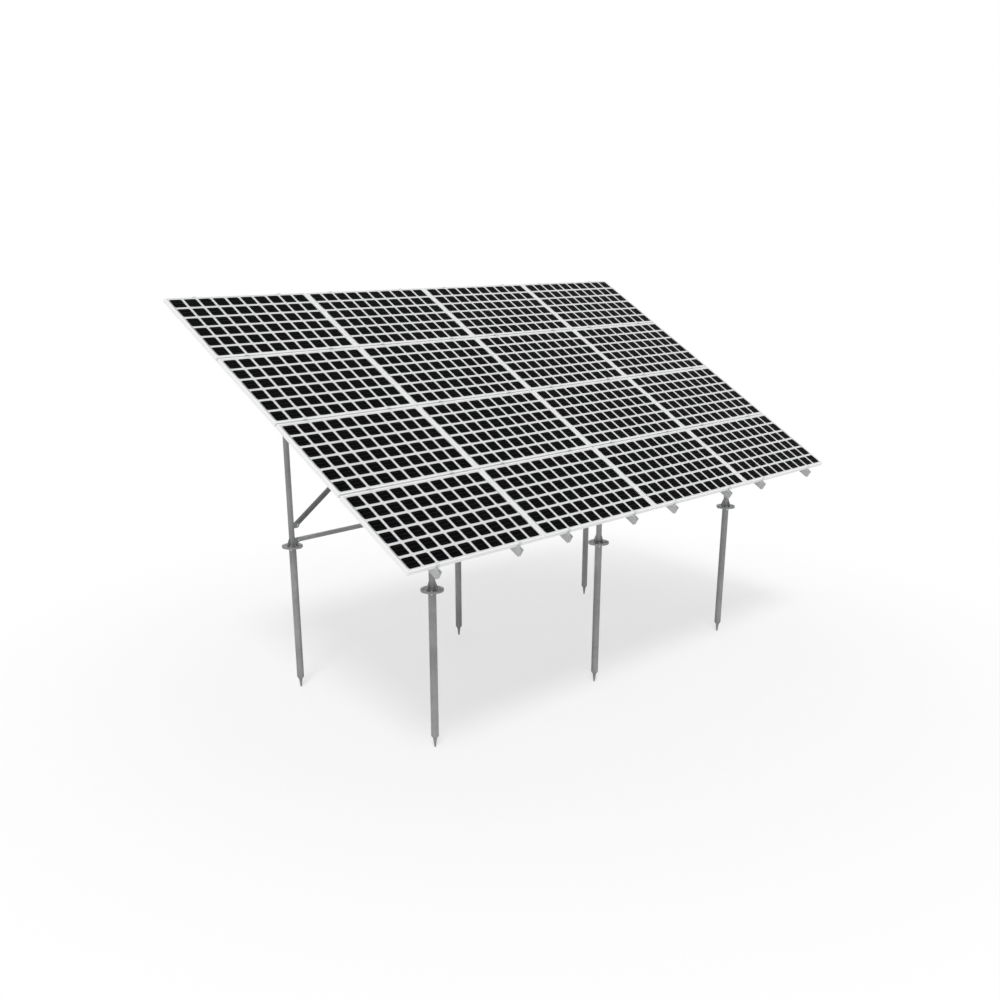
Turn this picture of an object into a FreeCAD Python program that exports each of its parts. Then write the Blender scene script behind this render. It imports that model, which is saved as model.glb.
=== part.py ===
import FreeCAD, Part
import math
import os

V = FreeCAD.Vector

# Ground-screw mounting for a tilted array of solar modules. Sizes in millimetres.
# X runs along the array, +Y towards its high edge and +Z up.
# The origin lies level with the screw tips, below the middle of the whole mounting.

# Array
COLUMNS = 4
ROWS = 4
MODULE_LENGTH = 1640.0
MODULE_WIDTH = 992.0
MODULE_GAP = 20.0
TILT_DEG = 30.0
LOW_EDGE_ABOVE_GROUND = 735.0

# Module frame, four mitred extrusions with a groove for the laminate
FRAME_HEIGHT = 40.0
FRAME_WALL = 2.0
FRAME_LIP = 11.0
FRAME_FLANGE = 30.0
MITRE_GAP = 0.3

# Laminate: front glass, cells and backsheet as one sheet
LAMINATE_THICKNESS = 5.0
LAMINATE_EDGE_GAP = 1.0
LAMINATE_TOP_GAP = 0.3

# Junction box on the back of each module
BOX_LENGTH = 110.0
BOX_WIDTH = 84.0
BOX_HEIGHT = 22.0
BOX_CHAMFER = 4.0
BOX_FROM_END = 70.0

# Slope rails, two under each column of modules
RAIL_WIDTH = 40.0
RAIL_HEIGHT = 75.0
RAIL_WALL = 2.5
RAIL_INSET = 325.0
RAIL_OVERHANG = 55.0
SLOT_OPENING = 10.0
SLOT_CAVITY = 20.0
SLOT_DEPTH = 10.0
SLOT_LIP = 3.0

# Cross beams, lipped channels that lie along X on the posts
BEAM_END_INSET = 230.0
BEAM_HEIGHT = 80.0
BEAM_WIDTH = 50.0
BEAM_LIP = 18.0
BEAM_WALL = 2.5

# Post rows
POST_FROM_ARRAY_END = 910.0
FRONT_POST_SETBACK = 735.0
POST_ROW_SPACING = 2200.0
POST_DIAMETER = 60.0

# Inclined post head, an angle that the beam sits in
HEAD_LENGTH = 120.0
HEAD_PLATE = 8.0
HEAD_UPSTAND = 62.0
HEAD_TOE = 14.0

# Flanges between a post and its ground screw
FLANGE_DIAMETER = 220.0
FLANGE_THICKNESS = 10.0

# Ribs between a post and its base flange
RIBS = 4
RIB_REACH = 36.0
RIB_HEIGHT = 90.0
RIB_TOE = 8.0
RIB_THICKNESS = 8.0

# Ground screws
SCREW_LENGTH = 1600.0
SCREW_TOP_ABOVE_GROUND = 225.0
SCREW_DIAMETER = 76.0
CONE_LENGTH = 28.0
CONE_DIAMETER = 38.0
POINT_LENGTH = 90.0
POINT_FLAT_DIAMETER = 16.0

# Ties and diagonal braces between the rear posts, angle bars behind lugs
ANGLE_LEG = 40.0
ANGLE_THICKNESS = 4.0
ANGLE_END_PAST_BOLT = 30.0
LUG_THICKNESS = 8.0
LUG_BOLT_REACH = 75.0
LUG_RADIUS = 28.0
TIE_ABOVE_GROUND = 277.0
BRACE_FOOT_ABOVE_GROUND = 440.0
BRACE_HEAD_BELOW_POST_TOP = 225.0

# Angle brackets that hold the rails on the beams
BRACKET_LEG = 45.0
BRACKET_THICKNESS = 5.0
BRACKET_LENGTH = 44.0

# Module clamps
CLAMP_LENGTH = 40.0
CLAMP_WALL = 3.0
CLAMP_LIP = 9.0
CLAMP_DEPTH = 30.0
CLAMP_FOOT = 22.0
CLAMP_SIDE_GAP = 0.5

# How far welded pieces run into each other, and how far cutting shapes pass the cut piece
WELD_BITE = 1.5
CUT_MARGIN = 1.0

TILT = math.radians(TILT_DEG)
COS = math.cos(TILT)
SIN = math.sin(TILT)

ARRAY_LENGTH = COLUMNS * MODULE_LENGTH + (COLUMNS - 1) * MODULE_GAP
ARRAY_WIDTH = ROWS * MODULE_WIDTH + (ROWS - 1) * MODULE_GAP

# Distances below the glass plane, square to it
RAIL_TOP = -FRAME_HEIGHT
BEAM_TOP = RAIL_TOP - RAIL_HEIGHT
BEAM_BOTTOM = BEAM_TOP - BEAM_HEIGHT
HEAD_BOTTOM = BEAM_BOTTOM - HEAD_PLATE

GROUND = SCREW_LENGTH - SCREW_TOP_ABOVE_GROUND
POST_RADIUS = POST_DIAMETER / 2

# The modules' lower edge, placed so that the mounting is centred on Y
FRONT_REACH = -RAIL_OVERHANG * COS - RAIL_TOP * SIN
REAR_REACH = (ARRAY_WIDTH + RAIL_OVERHANG) * COS - BEAM_TOP * SIN
EDGE_Y = -(FRONT_REACH + REAR_REACH) / 2
EDGE_Z = GROUND + LOW_EDGE_ABOVE_GROUND

POST_SPACING = ARRAY_LENGTH / 2 - POST_FROM_ARRAY_END
POST_X = {"left": -POST_SPACING, "middle": 0.0, "right": POST_SPACING}
ROW_Y = {"front": EDGE_Y + FRONT_POST_SETBACK,
         "rear": EDGE_Y + FRONT_POST_SETBACK + POST_ROW_SPACING}

ALONG_X = V(1, 0, 0)
UP_SLOPE = V(0, COS, SIN)
OUT_OF_GLASS = V(0, -SIN, COS)


def on_slope(x, s, n):
    """Point at x, s up the slope from the modules' lower edge and n out of the glass plane."""
    return V(x, EDGE_Y, EDGE_Z) + UP_SLOPE * s + OUT_OF_GLASS * n


def slope_at(y, n):
    """Distance up the slope at which a vertical line at y meets the plane n."""
    return (y - EDGE_Y + n * SIN) / COS


def height_at(y, n):
    """Height of the plane n on a vertical line at y."""
    return on_slope(0, slope_at(y, n), n).z


def prism(points, direction):
    """Solid swept from a closed outline."""
    return Part.Face(Part.makePolygon(points + [points[0]])).extrude(direction)


def disc(centre, radius, height):
    """Upright cylinder from its lower centre."""
    return Part.makeCylinder(radius, height, centre)


def fused(shapes):
    """One clean solid from pieces that are welded together."""
    return shapes[0].multiFuse(shapes[1:]).removeSplitter().Solids[0]


def save(name, solids):
    """Write one node, as a solid or as several that stay apart."""
    shape = solids[0] if len(solids) == 1 else Part.makeCompound(solids)
    shape.exportStep("parts/" + name + ".step")
    print(name, len(solids), "valid" if shape.isValid() else "NOT VALID")


def module_corner(row, column):
    """Lower left corner of a module, as x and slope distance."""
    x = -ARRAY_LENGTH / 2 + column * (MODULE_LENGTH + MODULE_GAP)
    s = row * (MODULE_WIDTH + MODULE_GAP)
    return x, s


def rail_positions():
    """Centre lines of the rails from left to right."""
    positions = []
    for column in range(COLUMNS):
        left = module_corner(0, column)[0]
        positions.append(left + RAIL_INSET)
        positions.append(left + MODULE_LENGTH - RAIL_INSET)
    return positions


def frame_section():
    """Frame outline as inward distance and depth below the glass plane."""
    groove_top = FRAME_WALL
    shelf_top = groove_top + LAMINATE_TOP_GAP + LAMINATE_THICKNESS
    shelf_bottom = shelf_top + FRAME_WALL
    flange_top = FRAME_HEIGHT - FRAME_WALL
    return [(0, 0), (FRAME_LIP, 0), (FRAME_LIP, groove_top), (FRAME_WALL, groove_top),
            (FRAME_WALL, shelf_top), (FRAME_LIP, shelf_top), (FRAME_LIP, shelf_bottom),
            (FRAME_WALL, shelf_bottom), (FRAME_WALL, flange_top), (FRAME_FLANGE, flange_top),
            (FRAME_FLANGE, FRAME_HEIGHT), (0, FRAME_HEIGHT)]


def mitred(bar, corners):
    """Bar trimmed to its plan outline, given as x and s."""
    plan = [on_slope(x, s, CUT_MARGIN) for x, s in corners]
    return bar.common(prism(plan, OUT_OF_GLASS * -(FRAME_HEIGHT + 2 * CUT_MARGIN))).Solids[0]


def module_frame(x0, s0):
    """Four mitred bars round one module."""
    x1 = x0 + MODULE_LENGTH
    s1 = s0 + MODULE_WIDTH
    shift = MITRE_GAP / 2
    inner = FRAME_FLANGE + CUT_MARGIN
    outer = -CUT_MARGIN
    section = frame_section()
    low = prism([on_slope(x0, s0 + u, -v) for u, v in section], ALONG_X * MODULE_LENGTH)
    high = prism([on_slope(x0, s1 - u, -v) for u, v in section], ALONG_X * MODULE_LENGTH)
    left = prism([on_slope(x0 + u, s0, -v) for u, v in section], UP_SLOPE * MODULE_WIDTH)
    right = prism([on_slope(x1 - u, s0, -v) for u, v in section], UP_SLOPE * MODULE_WIDTH)
    return [
        mitred(low, [(x0 + outer + shift, s0 + outer), (x1 - outer - shift, s0 + outer),
                     (x1 - inner - shift, s0 + inner), (x0 + inner + shift, s0 + inner)]),
        mitred(high, [(x0 + outer + shift, s1 - outer), (x1 - outer - shift, s1 - outer),
                      (x1 - inner - shift, s1 - inner), (x0 + inner + shift, s1 - inner)]),
        mitred(left, [(x0 + outer, s0 + outer + shift), (x0 + outer, s1 - outer - shift),
                      (x0 + inner, s1 - inner - shift), (x0 + inner, s0 + inner + shift)]),
        mitred(right, [(x1 - outer, s0 + outer + shift), (x1 - outer, s1 - outer - shift),
                       (x1 - inner, s1 - inner - shift), (x1 - inner, s0 + inner + shift)]),
    ]


def laminate(x0, s0):
    """Sheet that lies on the frame's shelves."""
    edge = FRAME_WALL + LAMINATE_EDGE_GAP
    x1 = x0 + MODULE_LENGTH
    s1 = s0 + MODULE_WIDTH
    back = -(FRAME_WALL + LAMINATE_TOP_GAP + LAMINATE_THICKNESS)
    corners = [(x0 + edge, s0 + edge), (x1 - edge, s0 + edge), (x1 - edge, s1 - edge), (x0 + edge, s1 - edge)]
    return prism([on_slope(x, s, back) for x, s in corners], OUT_OF_GLASS * LAMINATE_THICKNESS)


def junction_box(x0, s0):
    """Closed box at the module's end that faces away from the middle of the array."""
    outward = -1 if x0 < 0 else 1
    end = x0 if x0 < 0 else x0 + MODULE_LENGTH
    outer = end - outward * BOX_FROM_END
    inner = outer - outward * BOX_WIDTH
    chamfer = outward * BOX_CHAMFER
    back = -(FRAME_WALL + LAMINATE_TOP_GAP + LAMINATE_THICKNESS)
    floor = back - BOX_HEIGHT
    section = [(inner, back), (outer, back), (outer, floor + BOX_CHAMFER), (outer - chamfer, floor),
               (inner + chamfer, floor), (inner, floor + BOX_CHAMFER)]
    start = s0 + (MODULE_WIDTH - BOX_LENGTH) / 2
    return prism([on_slope(x, start, n) for x, n in section], UP_SLOPE * BOX_LENGTH)


def slope_rail(x):
    """Hollow rail with a T-slot along its top."""
    half = RAIL_WIDTH / 2
    mouth = SLOT_OPENING / 2
    cavity = SLOT_CAVITY / 2
    top = RAIL_TOP
    bottom = RAIL_TOP - RAIL_HEIGHT
    slot_roof = top - SLOT_LIP
    slot_floor = top - SLOT_LIP - SLOT_DEPTH
    outside = [(-half, bottom), (half, bottom), (half, top), (mouth, top), (mouth, slot_roof),
               (cavity, slot_roof), (cavity, slot_floor), (-cavity, slot_floor), (-cavity, slot_roof),
               (-mouth, slot_roof), (-mouth, top), (-half, top)]
    inner = half - RAIL_WALL
    jacket = cavity + RAIL_WALL
    inside = [(-inner, bottom + RAIL_WALL), (inner, bottom + RAIL_WALL), (inner, slot_roof),
              (jacket, slot_roof), (jacket, slot_floor - RAIL_WALL), (-jacket, slot_floor - RAIL_WALL),
              (-jacket, slot_roof), (-inner, slot_roof)]
    length = UP_SLOPE * (ARRAY_WIDTH + 2 * RAIL_OVERHANG)
    bar = prism([on_slope(x + u, -RAIL_OVERHANG, n) for u, n in outside], length)
    return bar.cut(prism([on_slope(x + u, -RAIL_OVERHANG, n) for u, n in inside], length)).Solids[0]


def beam_web(y):
    """Slope distance of the beam's web, with the beam's middle above the post."""
    return slope_at(y, HEAD_BOTTOM) - BEAM_WIDTH / 2


def cross_beam(y):
    """Lipped channel, open up the slope."""
    web = beam_web(y)
    mouth = web + BEAM_WIDTH
    t = BEAM_WALL
    section = [(web, BEAM_TOP), (mouth, BEAM_TOP), (mouth, BEAM_TOP - BEAM_LIP),
               (mouth - t, BEAM_TOP - BEAM_LIP), (mouth - t, BEAM_TOP - t), (web + t, BEAM_TOP - t),
               (web + t, BEAM_BOTTOM + t), (mouth - t, BEAM_BOTTOM + t),
               (mouth - t, BEAM_BOTTOM + BEAM_LIP), (mouth, BEAM_BOTTOM + BEAM_LIP),
               (mouth, BEAM_BOTTOM), (web, BEAM_BOTTOM)]
    length = ARRAY_LENGTH - 2 * BEAM_END_INSET
    return prism([on_slope(-length / 2, s, n) for s, n in section], ALONG_X * length)


def post_head(x, y):
    """Inclined angle welded on the post, under the beam and against its web."""
    web = beam_web(y)
    outer = web - HEAD_PLATE
    far = web + BEAM_WIDTH + HEAD_TOE
    section = [(outer, HEAD_BOTTOM), (far, HEAD_BOTTOM), (far, BEAM_BOTTOM), (web, BEAM_BOTTOM),
               (web, BEAM_BOTTOM + HEAD_UPSTAND), (outer, BEAM_BOTTOM + HEAD_UPSTAND)]
    return prism([on_slope(x - HEAD_LENGTH / 2, s, n) for s, n in section], ALONG_X * HEAD_LENGTH)


def rib(x, y, z, index):
    """Triangular plate from the flange up the side of the post."""
    root = POST_RADIUS - WELD_BITE
    reach = POST_RADIUS + RIB_REACH
    side = -RIB_THICKNESS / 2
    outline = [V(root, side, z), V(reach, side, z), V(reach, side, z + RIB_TOE),
               V(POST_RADIUS, side, z + RIB_HEIGHT), V(root, side, z + RIB_HEIGHT)]
    plate = prism(outline, V(0, RIB_THICKNESS, 0))
    plate.rotate(V(0, 0, 0), V(0, 0, 1), index * 360.0 / RIBS)
    return plate.translated(V(x, y, 0))


def lug(x, y, z, side):
    """Plate on the left (-1) or right (1) of a post, with a round end."""
    root = x + side * (POST_RADIUS - WELD_BITE)
    bolt = x + side * LUG_BOLT_REACH
    front = y - LUG_THICKNESS / 2
    low = V(bolt, front, z - LUG_RADIUS)
    high = V(bolt, front, z + LUG_RADIUS)
    tip = V(bolt + side * LUG_RADIUS, front, z)
    edges = [Part.makeLine(V(root, front, z - LUG_RADIUS), low), Part.Arc(low, tip, high).toShape(),
             Part.makeLine(high, V(root, front, z + LUG_RADIUS)),
             Part.makeLine(V(root, front, z + LUG_RADIUS), V(root, front, z - LUG_RADIUS))]
    return Part.Face(Part.Wire(edges)).extrude(V(0, LUG_THICKNESS, 0))


def post(row, place):
    """Tube with its base flange, ribs, inclined head and any lugs."""
    x = POST_X[place]
    y = ROW_Y[row]
    base = GROUND + SCREW_TOP_ABOVE_GROUND
    top = height_at(y, HEAD_BOTTOM)
    spare = 2 * POST_DIAMETER
    tube = disc(V(x, y, base), POST_RADIUS, top + spare - base)
    meeting = slope_at(y, HEAD_BOTTOM)
    above = [on_slope(x - spare, meeting - spare, HEAD_BOTTOM), on_slope(x + spare, meeting - spare, HEAD_BOTTOM),
             on_slope(x + spare, meeting + spare, HEAD_BOTTOM), on_slope(x - spare, meeting + spare, HEAD_BOTTOM)]
    tube = tube.cut(prism(above, OUT_OF_GLASS * (3 * spare)))
    pieces = [tube, disc(V(x, y, base), FLANGE_DIAMETER / 2, FLANGE_THICKNESS), post_head(x, y)]
    pieces += [rib(x, y, base + FLANGE_THICKNESS, index) for index in range(RIBS)]
    if row == "rear":
        for side in inner_sides(place):
            for z in lug_heights(place):
                pieces.append(lug(x, y, z, side))
    return fused(pieces)


def inner_sides(place):
    """Sides of a rear post that face a bay."""
    return {"left": [1], "middle": [-1, 1], "right": [-1]}[place]


def tie_height():
    """Height of the ties' bolts."""
    return GROUND + TIE_ABOVE_GROUND


def brace_heights():
    """Heights of a brace's lower and upper bolts."""
    post_top = height_at(ROW_Y["rear"], HEAD_BOTTOM)
    return GROUND + BRACE_FOOT_ABOVE_GROUND, post_top - BRACE_HEAD_BELOW_POST_TOP


def lug_heights(place):
    """Heights of the lugs on one rear post."""
    foot, head = brace_heights()
    return [tie_height(), head if place == "middle" else foot]


def rear_bar(side, outer_z, middle_z):
    """Angle bar from a side post to the middle post, one leg behind the lugs, the other on top."""
    outer = V(side * (POST_SPACING - LUG_BOLT_REACH), 0, outer_z)
    middle = V(side * LUG_BOLT_REACH, 0, middle_z)
    along = (middle - outer).normalize()
    across = V(-along.z, 0, along.x) * -side
    front = ROW_Y["rear"] + LUG_THICKNESS / 2
    start = outer - along * ANGLE_END_PAST_BOLT + V(0, front, 0)
    half = ANGLE_LEG / 2
    under = half - ANGLE_THICKNESS
    section = [(0, -half), (ANGLE_THICKNESS, -half), (ANGLE_THICKNESS, under), (ANGLE_LEG, under),
               (ANGLE_LEG, half), (0, half)]
    length = (middle - outer).Length + 2 * ANGLE_END_PAST_BOLT
    return prism([start + V(0, u, 0) + across * v for u, v in section], along * length)


def ground_screw(x, y):
    """Tube with a flange above ground and a stepped point at z = 0."""
    outer = SCREW_DIAMETER / 2
    flange = FLANGE_DIAMETER / 2
    under = SCREW_LENGTH - FLANGE_THICKNESS
    outline = [V(0, 0, 0), V(POINT_FLAT_DIAMETER / 2, 0, 0), V(CONE_DIAMETER / 2, 0, POINT_LENGTH),
               V(outer, 0, POINT_LENGTH + CONE_LENGTH), V(outer, 0, under), V(flange, 0, under),
               V(flange, 0, SCREW_LENGTH), V(0, 0, SCREW_LENGTH)]
    screw = Part.Face(Part.makePolygon(outline + [outline[0]])).revolve(V(0, 0, 0), V(0, 0, 1), 360)
    return screw.translated(V(x, y, 0))


def rail_bracket(rail_x, y, side):
    """Angle on the beam, against the outer side of a rail."""
    leg = side * BRACKET_LEG
    t = side * BRACKET_THICKNESS
    x = rail_x + side * RAIL_WIDTH / 2
    section = [(x, BEAM_TOP), (x + leg, BEAM_TOP), (x + leg, BEAM_TOP + BRACKET_THICKNESS),
               (x + t, BEAM_TOP + BRACKET_THICKNESS), (x + t, BEAM_TOP + BRACKET_LEG),
               (x, BEAM_TOP + BRACKET_LEG)]
    start = beam_web(y) + (BEAM_WIDTH - BRACKET_LENGTH) / 2
    return prism([on_slope(u, start, n) for u, n in section], UP_SLOPE * BRACKET_LENGTH)


def mid_clamp(x, s):
    """Hat section in the gap between two modules, its lips on both frames."""
    gap = MODULE_GAP / 2
    lip = gap + CLAMP_LIP
    leg = gap - CLAMP_SIDE_GAP
    bore = leg - CLAMP_WALL
    top = CLAMP_WALL
    section = [(-lip, 0), (-lip, top), (-bore, top), (-bore, CLAMP_WALL - CLAMP_DEPTH),
               (bore, CLAMP_WALL - CLAMP_DEPTH), (bore, top), (lip, top), (lip, 0), (leg, 0),
               (leg, -CLAMP_DEPTH), (-leg, -CLAMP_DEPTH), (-leg, 0)]
    return prism([on_slope(x - CLAMP_LENGTH / 2, s + u, n) for u, n in section], ALONG_X * CLAMP_LENGTH)


def end_clamp(x, s, outward):
    """Z section that stands on the rail, its lip on the outermost frame."""
    wall = CLAMP_SIDE_GAP + CLAMP_WALL
    section = [(-CLAMP_LIP, 0), (-CLAMP_LIP, CLAMP_WALL), (wall, CLAMP_WALL), (wall, RAIL_TOP + CLAMP_WALL),
               (wall + CLAMP_FOOT, RAIL_TOP + CLAMP_WALL), (wall + CLAMP_FOOT, RAIL_TOP),
               (CLAMP_SIDE_GAP, RAIL_TOP), (CLAMP_SIDE_GAP, 0)]
    points = [on_slope(x - CLAMP_LENGTH / 2, s + outward * u, n) for u, n in section]
    return prism(points, ALONG_X * CLAMP_LENGTH)


def make_modules():
    """Frames, laminates and junction boxes."""
    boxes = []
    for row in range(ROWS):
        sheets = []
        for column in range(COLUMNS):
            x, s = module_corner(row, column)
            save(f"module_frame_r{row + 1}c{column + 1}", module_frame(x, s))
            sheets.append(laminate(x, s))
            boxes.append(junction_box(x, s))
        save(f"laminate_row_{row + 1}", sheets)
    save("junction_boxes", boxes)


def make_rails():
    """Rails with the brackets and clamps on them."""
    brackets = []
    mid_clamps = []
    end_clamps = []
    for number, x in enumerate(rail_positions(), 1):
        save(f"slope_rail_{number}", [slope_rail(x)])
        side = -1 if x < 0 else 1
        for y in ROW_Y.values():
            brackets.append(rail_bracket(x, y, side))
        for row in range(1, ROWS):
            mid_clamps.append(mid_clamp(x, module_corner(row, 0)[1] - MODULE_GAP / 2))
        end_clamps.append(end_clamp(x, 0, -1))
        end_clamps.append(end_clamp(x, ARRAY_WIDTH, 1))
    save("rail_brackets", brackets)
    save("mid_clamps", mid_clamps)
    save("end_clamps", end_clamps)


def make_supports():
    """Beams, posts, ground screws and rear bracing."""
    for row, y in ROW_Y.items():
        save(f"{row}_beam", [cross_beam(y)])
        for place, x in POST_X.items():
            save(f"{row}_post_{place}", [post(row, place)])
            save(f"ground_screw_{row}_{place}", [ground_screw(x, y)])
    foot, head = brace_heights()
    for place, side in (("left", -1), ("right", 1)):
        save(f"rear_tie_{place}", [rear_bar(side, tie_height(), tie_height())])
        save(f"rear_brace_{place}", [rear_bar(side, foot, head)])


os.makedirs("parts", exist_ok=True)
make_modules()
make_rails()
make_supports()
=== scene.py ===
"""Looks of a ground-screw solar mounting: sixteen framed modules on rails, beams, posts and screws.

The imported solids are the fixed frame. This script gives them their finishes and adds what they
leave out: cells and ribbons, sealant, bolts and nuts, weld beads, box lids and cable glands.
Lengths are in metres. X runs along the array, Y towards its high edge, and Z up from the tips of
the ground screws. On the array itself, s runs up the slope and n out of the glass.
"""
import logging
import math
import random
from dataclasses import dataclass, field
from enum import Enum

import bmesh
import bpy
from mathutils import Matrix, Vector


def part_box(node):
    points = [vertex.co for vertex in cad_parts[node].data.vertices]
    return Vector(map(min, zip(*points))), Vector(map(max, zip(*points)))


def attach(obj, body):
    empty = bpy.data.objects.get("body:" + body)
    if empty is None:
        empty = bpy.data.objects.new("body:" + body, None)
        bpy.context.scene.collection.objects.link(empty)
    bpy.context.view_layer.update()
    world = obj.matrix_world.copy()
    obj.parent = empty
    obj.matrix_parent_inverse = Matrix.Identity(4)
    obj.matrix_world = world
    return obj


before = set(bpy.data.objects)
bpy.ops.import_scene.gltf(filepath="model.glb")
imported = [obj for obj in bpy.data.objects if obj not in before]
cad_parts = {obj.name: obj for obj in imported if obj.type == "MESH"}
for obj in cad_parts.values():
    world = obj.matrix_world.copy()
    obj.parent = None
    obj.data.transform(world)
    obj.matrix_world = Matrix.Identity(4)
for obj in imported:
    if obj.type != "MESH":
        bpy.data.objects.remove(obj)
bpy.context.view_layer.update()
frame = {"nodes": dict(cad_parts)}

log = logging.getLogger("solar_mounting")

Colour = tuple[float, float, float]
Outline = list[tuple[float, float]]
Ring = list[Vector]

ROOT = "root"
PLACES = ("left", "middle", "right")
ROWS = ("front", "rear")
TILT = math.radians(30.0)
UP = Vector((0.0, 0.0, 1.0))
CELL_TONE = "cell_tone"


class Slot(Enum):
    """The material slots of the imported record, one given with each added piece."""

    FRAME = "module_frame"
    LAMINATE = "laminate"
    BOX = "junction_box"
    RAIL = "rail"
    CLAMP = "clamp"
    STEEL = "galvanised_steel"


class Grain(Enum):
    """The fine pattern that a finish shows."""

    SPANGLE = "spangle"
    DRAWN = "drawn"
    MOULDED = "moulded"


# Node trees


class Graph:
    """A node tree with short calls for adding and joining nodes."""

    def __init__(self, tree: bpy.types.NodeTree) -> None:
        """Starts on a tree.

        Args:
            tree: The material's, world's or group's tree.
        """
        self.tree = tree

    def add(self, kind: str, inputs: dict | None = None, **settings: object) -> bpy.types.Node:
        """Adds a node.

        Args:
            kind: The node's type, without the ShaderNode prefix.
            inputs: Values or output sockets for its inputs, by name or number.
            settings: Properties of the node.

        Returns:
            The node.
        """
        node = self.tree.nodes.new("ShaderNode" + kind)
        for key, value in settings.items():
            setattr(node, key, value)
        self.feed(node, inputs or {})
        return node

    def math(self, operation: str, *values: object) -> bpy.types.NodeSocket:
        """Adds a Math node and returns its output."""
        return self.add("Math", dict(enumerate(values)), operation=operation).outputs[0]

    def span(self, value: bpy.types.NodeSocket, low: float, high: float,
             start: float = 0.0, end: float = 1.0) -> bpy.types.NodeSocket:
        """Maps a value from low..high to start..end, smoothly and held at both ends."""
        node = self.add("MapRange", {0: value, 1: low, 2: high, 3: start, 4: end},
                        interpolation_type="SMOOTHSTEP")
        return node.outputs[0]

    def mix(self, factor: object, first: object, second: object) -> bpy.types.NodeSocket:
        """Adds a colour mix.

        Args:
            factor: Share of the second colour.
            first: The first colour.
            second: The second colour.

        Returns:
            The mixed colour.
        """
        colours = {index: value if isinstance(value, bpy.types.NodeSocket) else (*value, 1.0)
                   for index, value in ((6, first), (7, second))}
        return self.add("Mix", {0: factor, **colours}, data_type="RGBA").outputs[2]

    def places(self, turn: float) -> bpy.types.NodeSocket:
        """Puts out places on the piece, turned about X by an angle."""
        inputs = {0: self.add("TexCoord").outputs["Object"], "Rotation": (turn, 0.0, 0.0)}
        return self.add("Mapping", inputs).outputs[0]

    def group(self, name: str, inputs: dict) -> bpy.types.Node:
        """Places a shared effect.

        Args:
            name: The group's name.
            inputs: Values or output sockets for its inputs, by name.

        Returns:
            The group's node.
        """
        node = self.add("Group")
        node.node_tree = bpy.data.node_groups[name]
        self.feed(node, inputs)
        return node

    def feed(self, node: bpy.types.Node, inputs: dict) -> None:
        """Joins or sets the inputs of a node.

        Args:
            node: The node.
            inputs: Values or output sockets, by name or number.
        """
        for key, value in inputs.items():
            if isinstance(value, bpy.types.NodeSocket):
                self.tree.links.new(value, node.inputs[key])
            else:
                node.inputs[key].default_value = value


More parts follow.
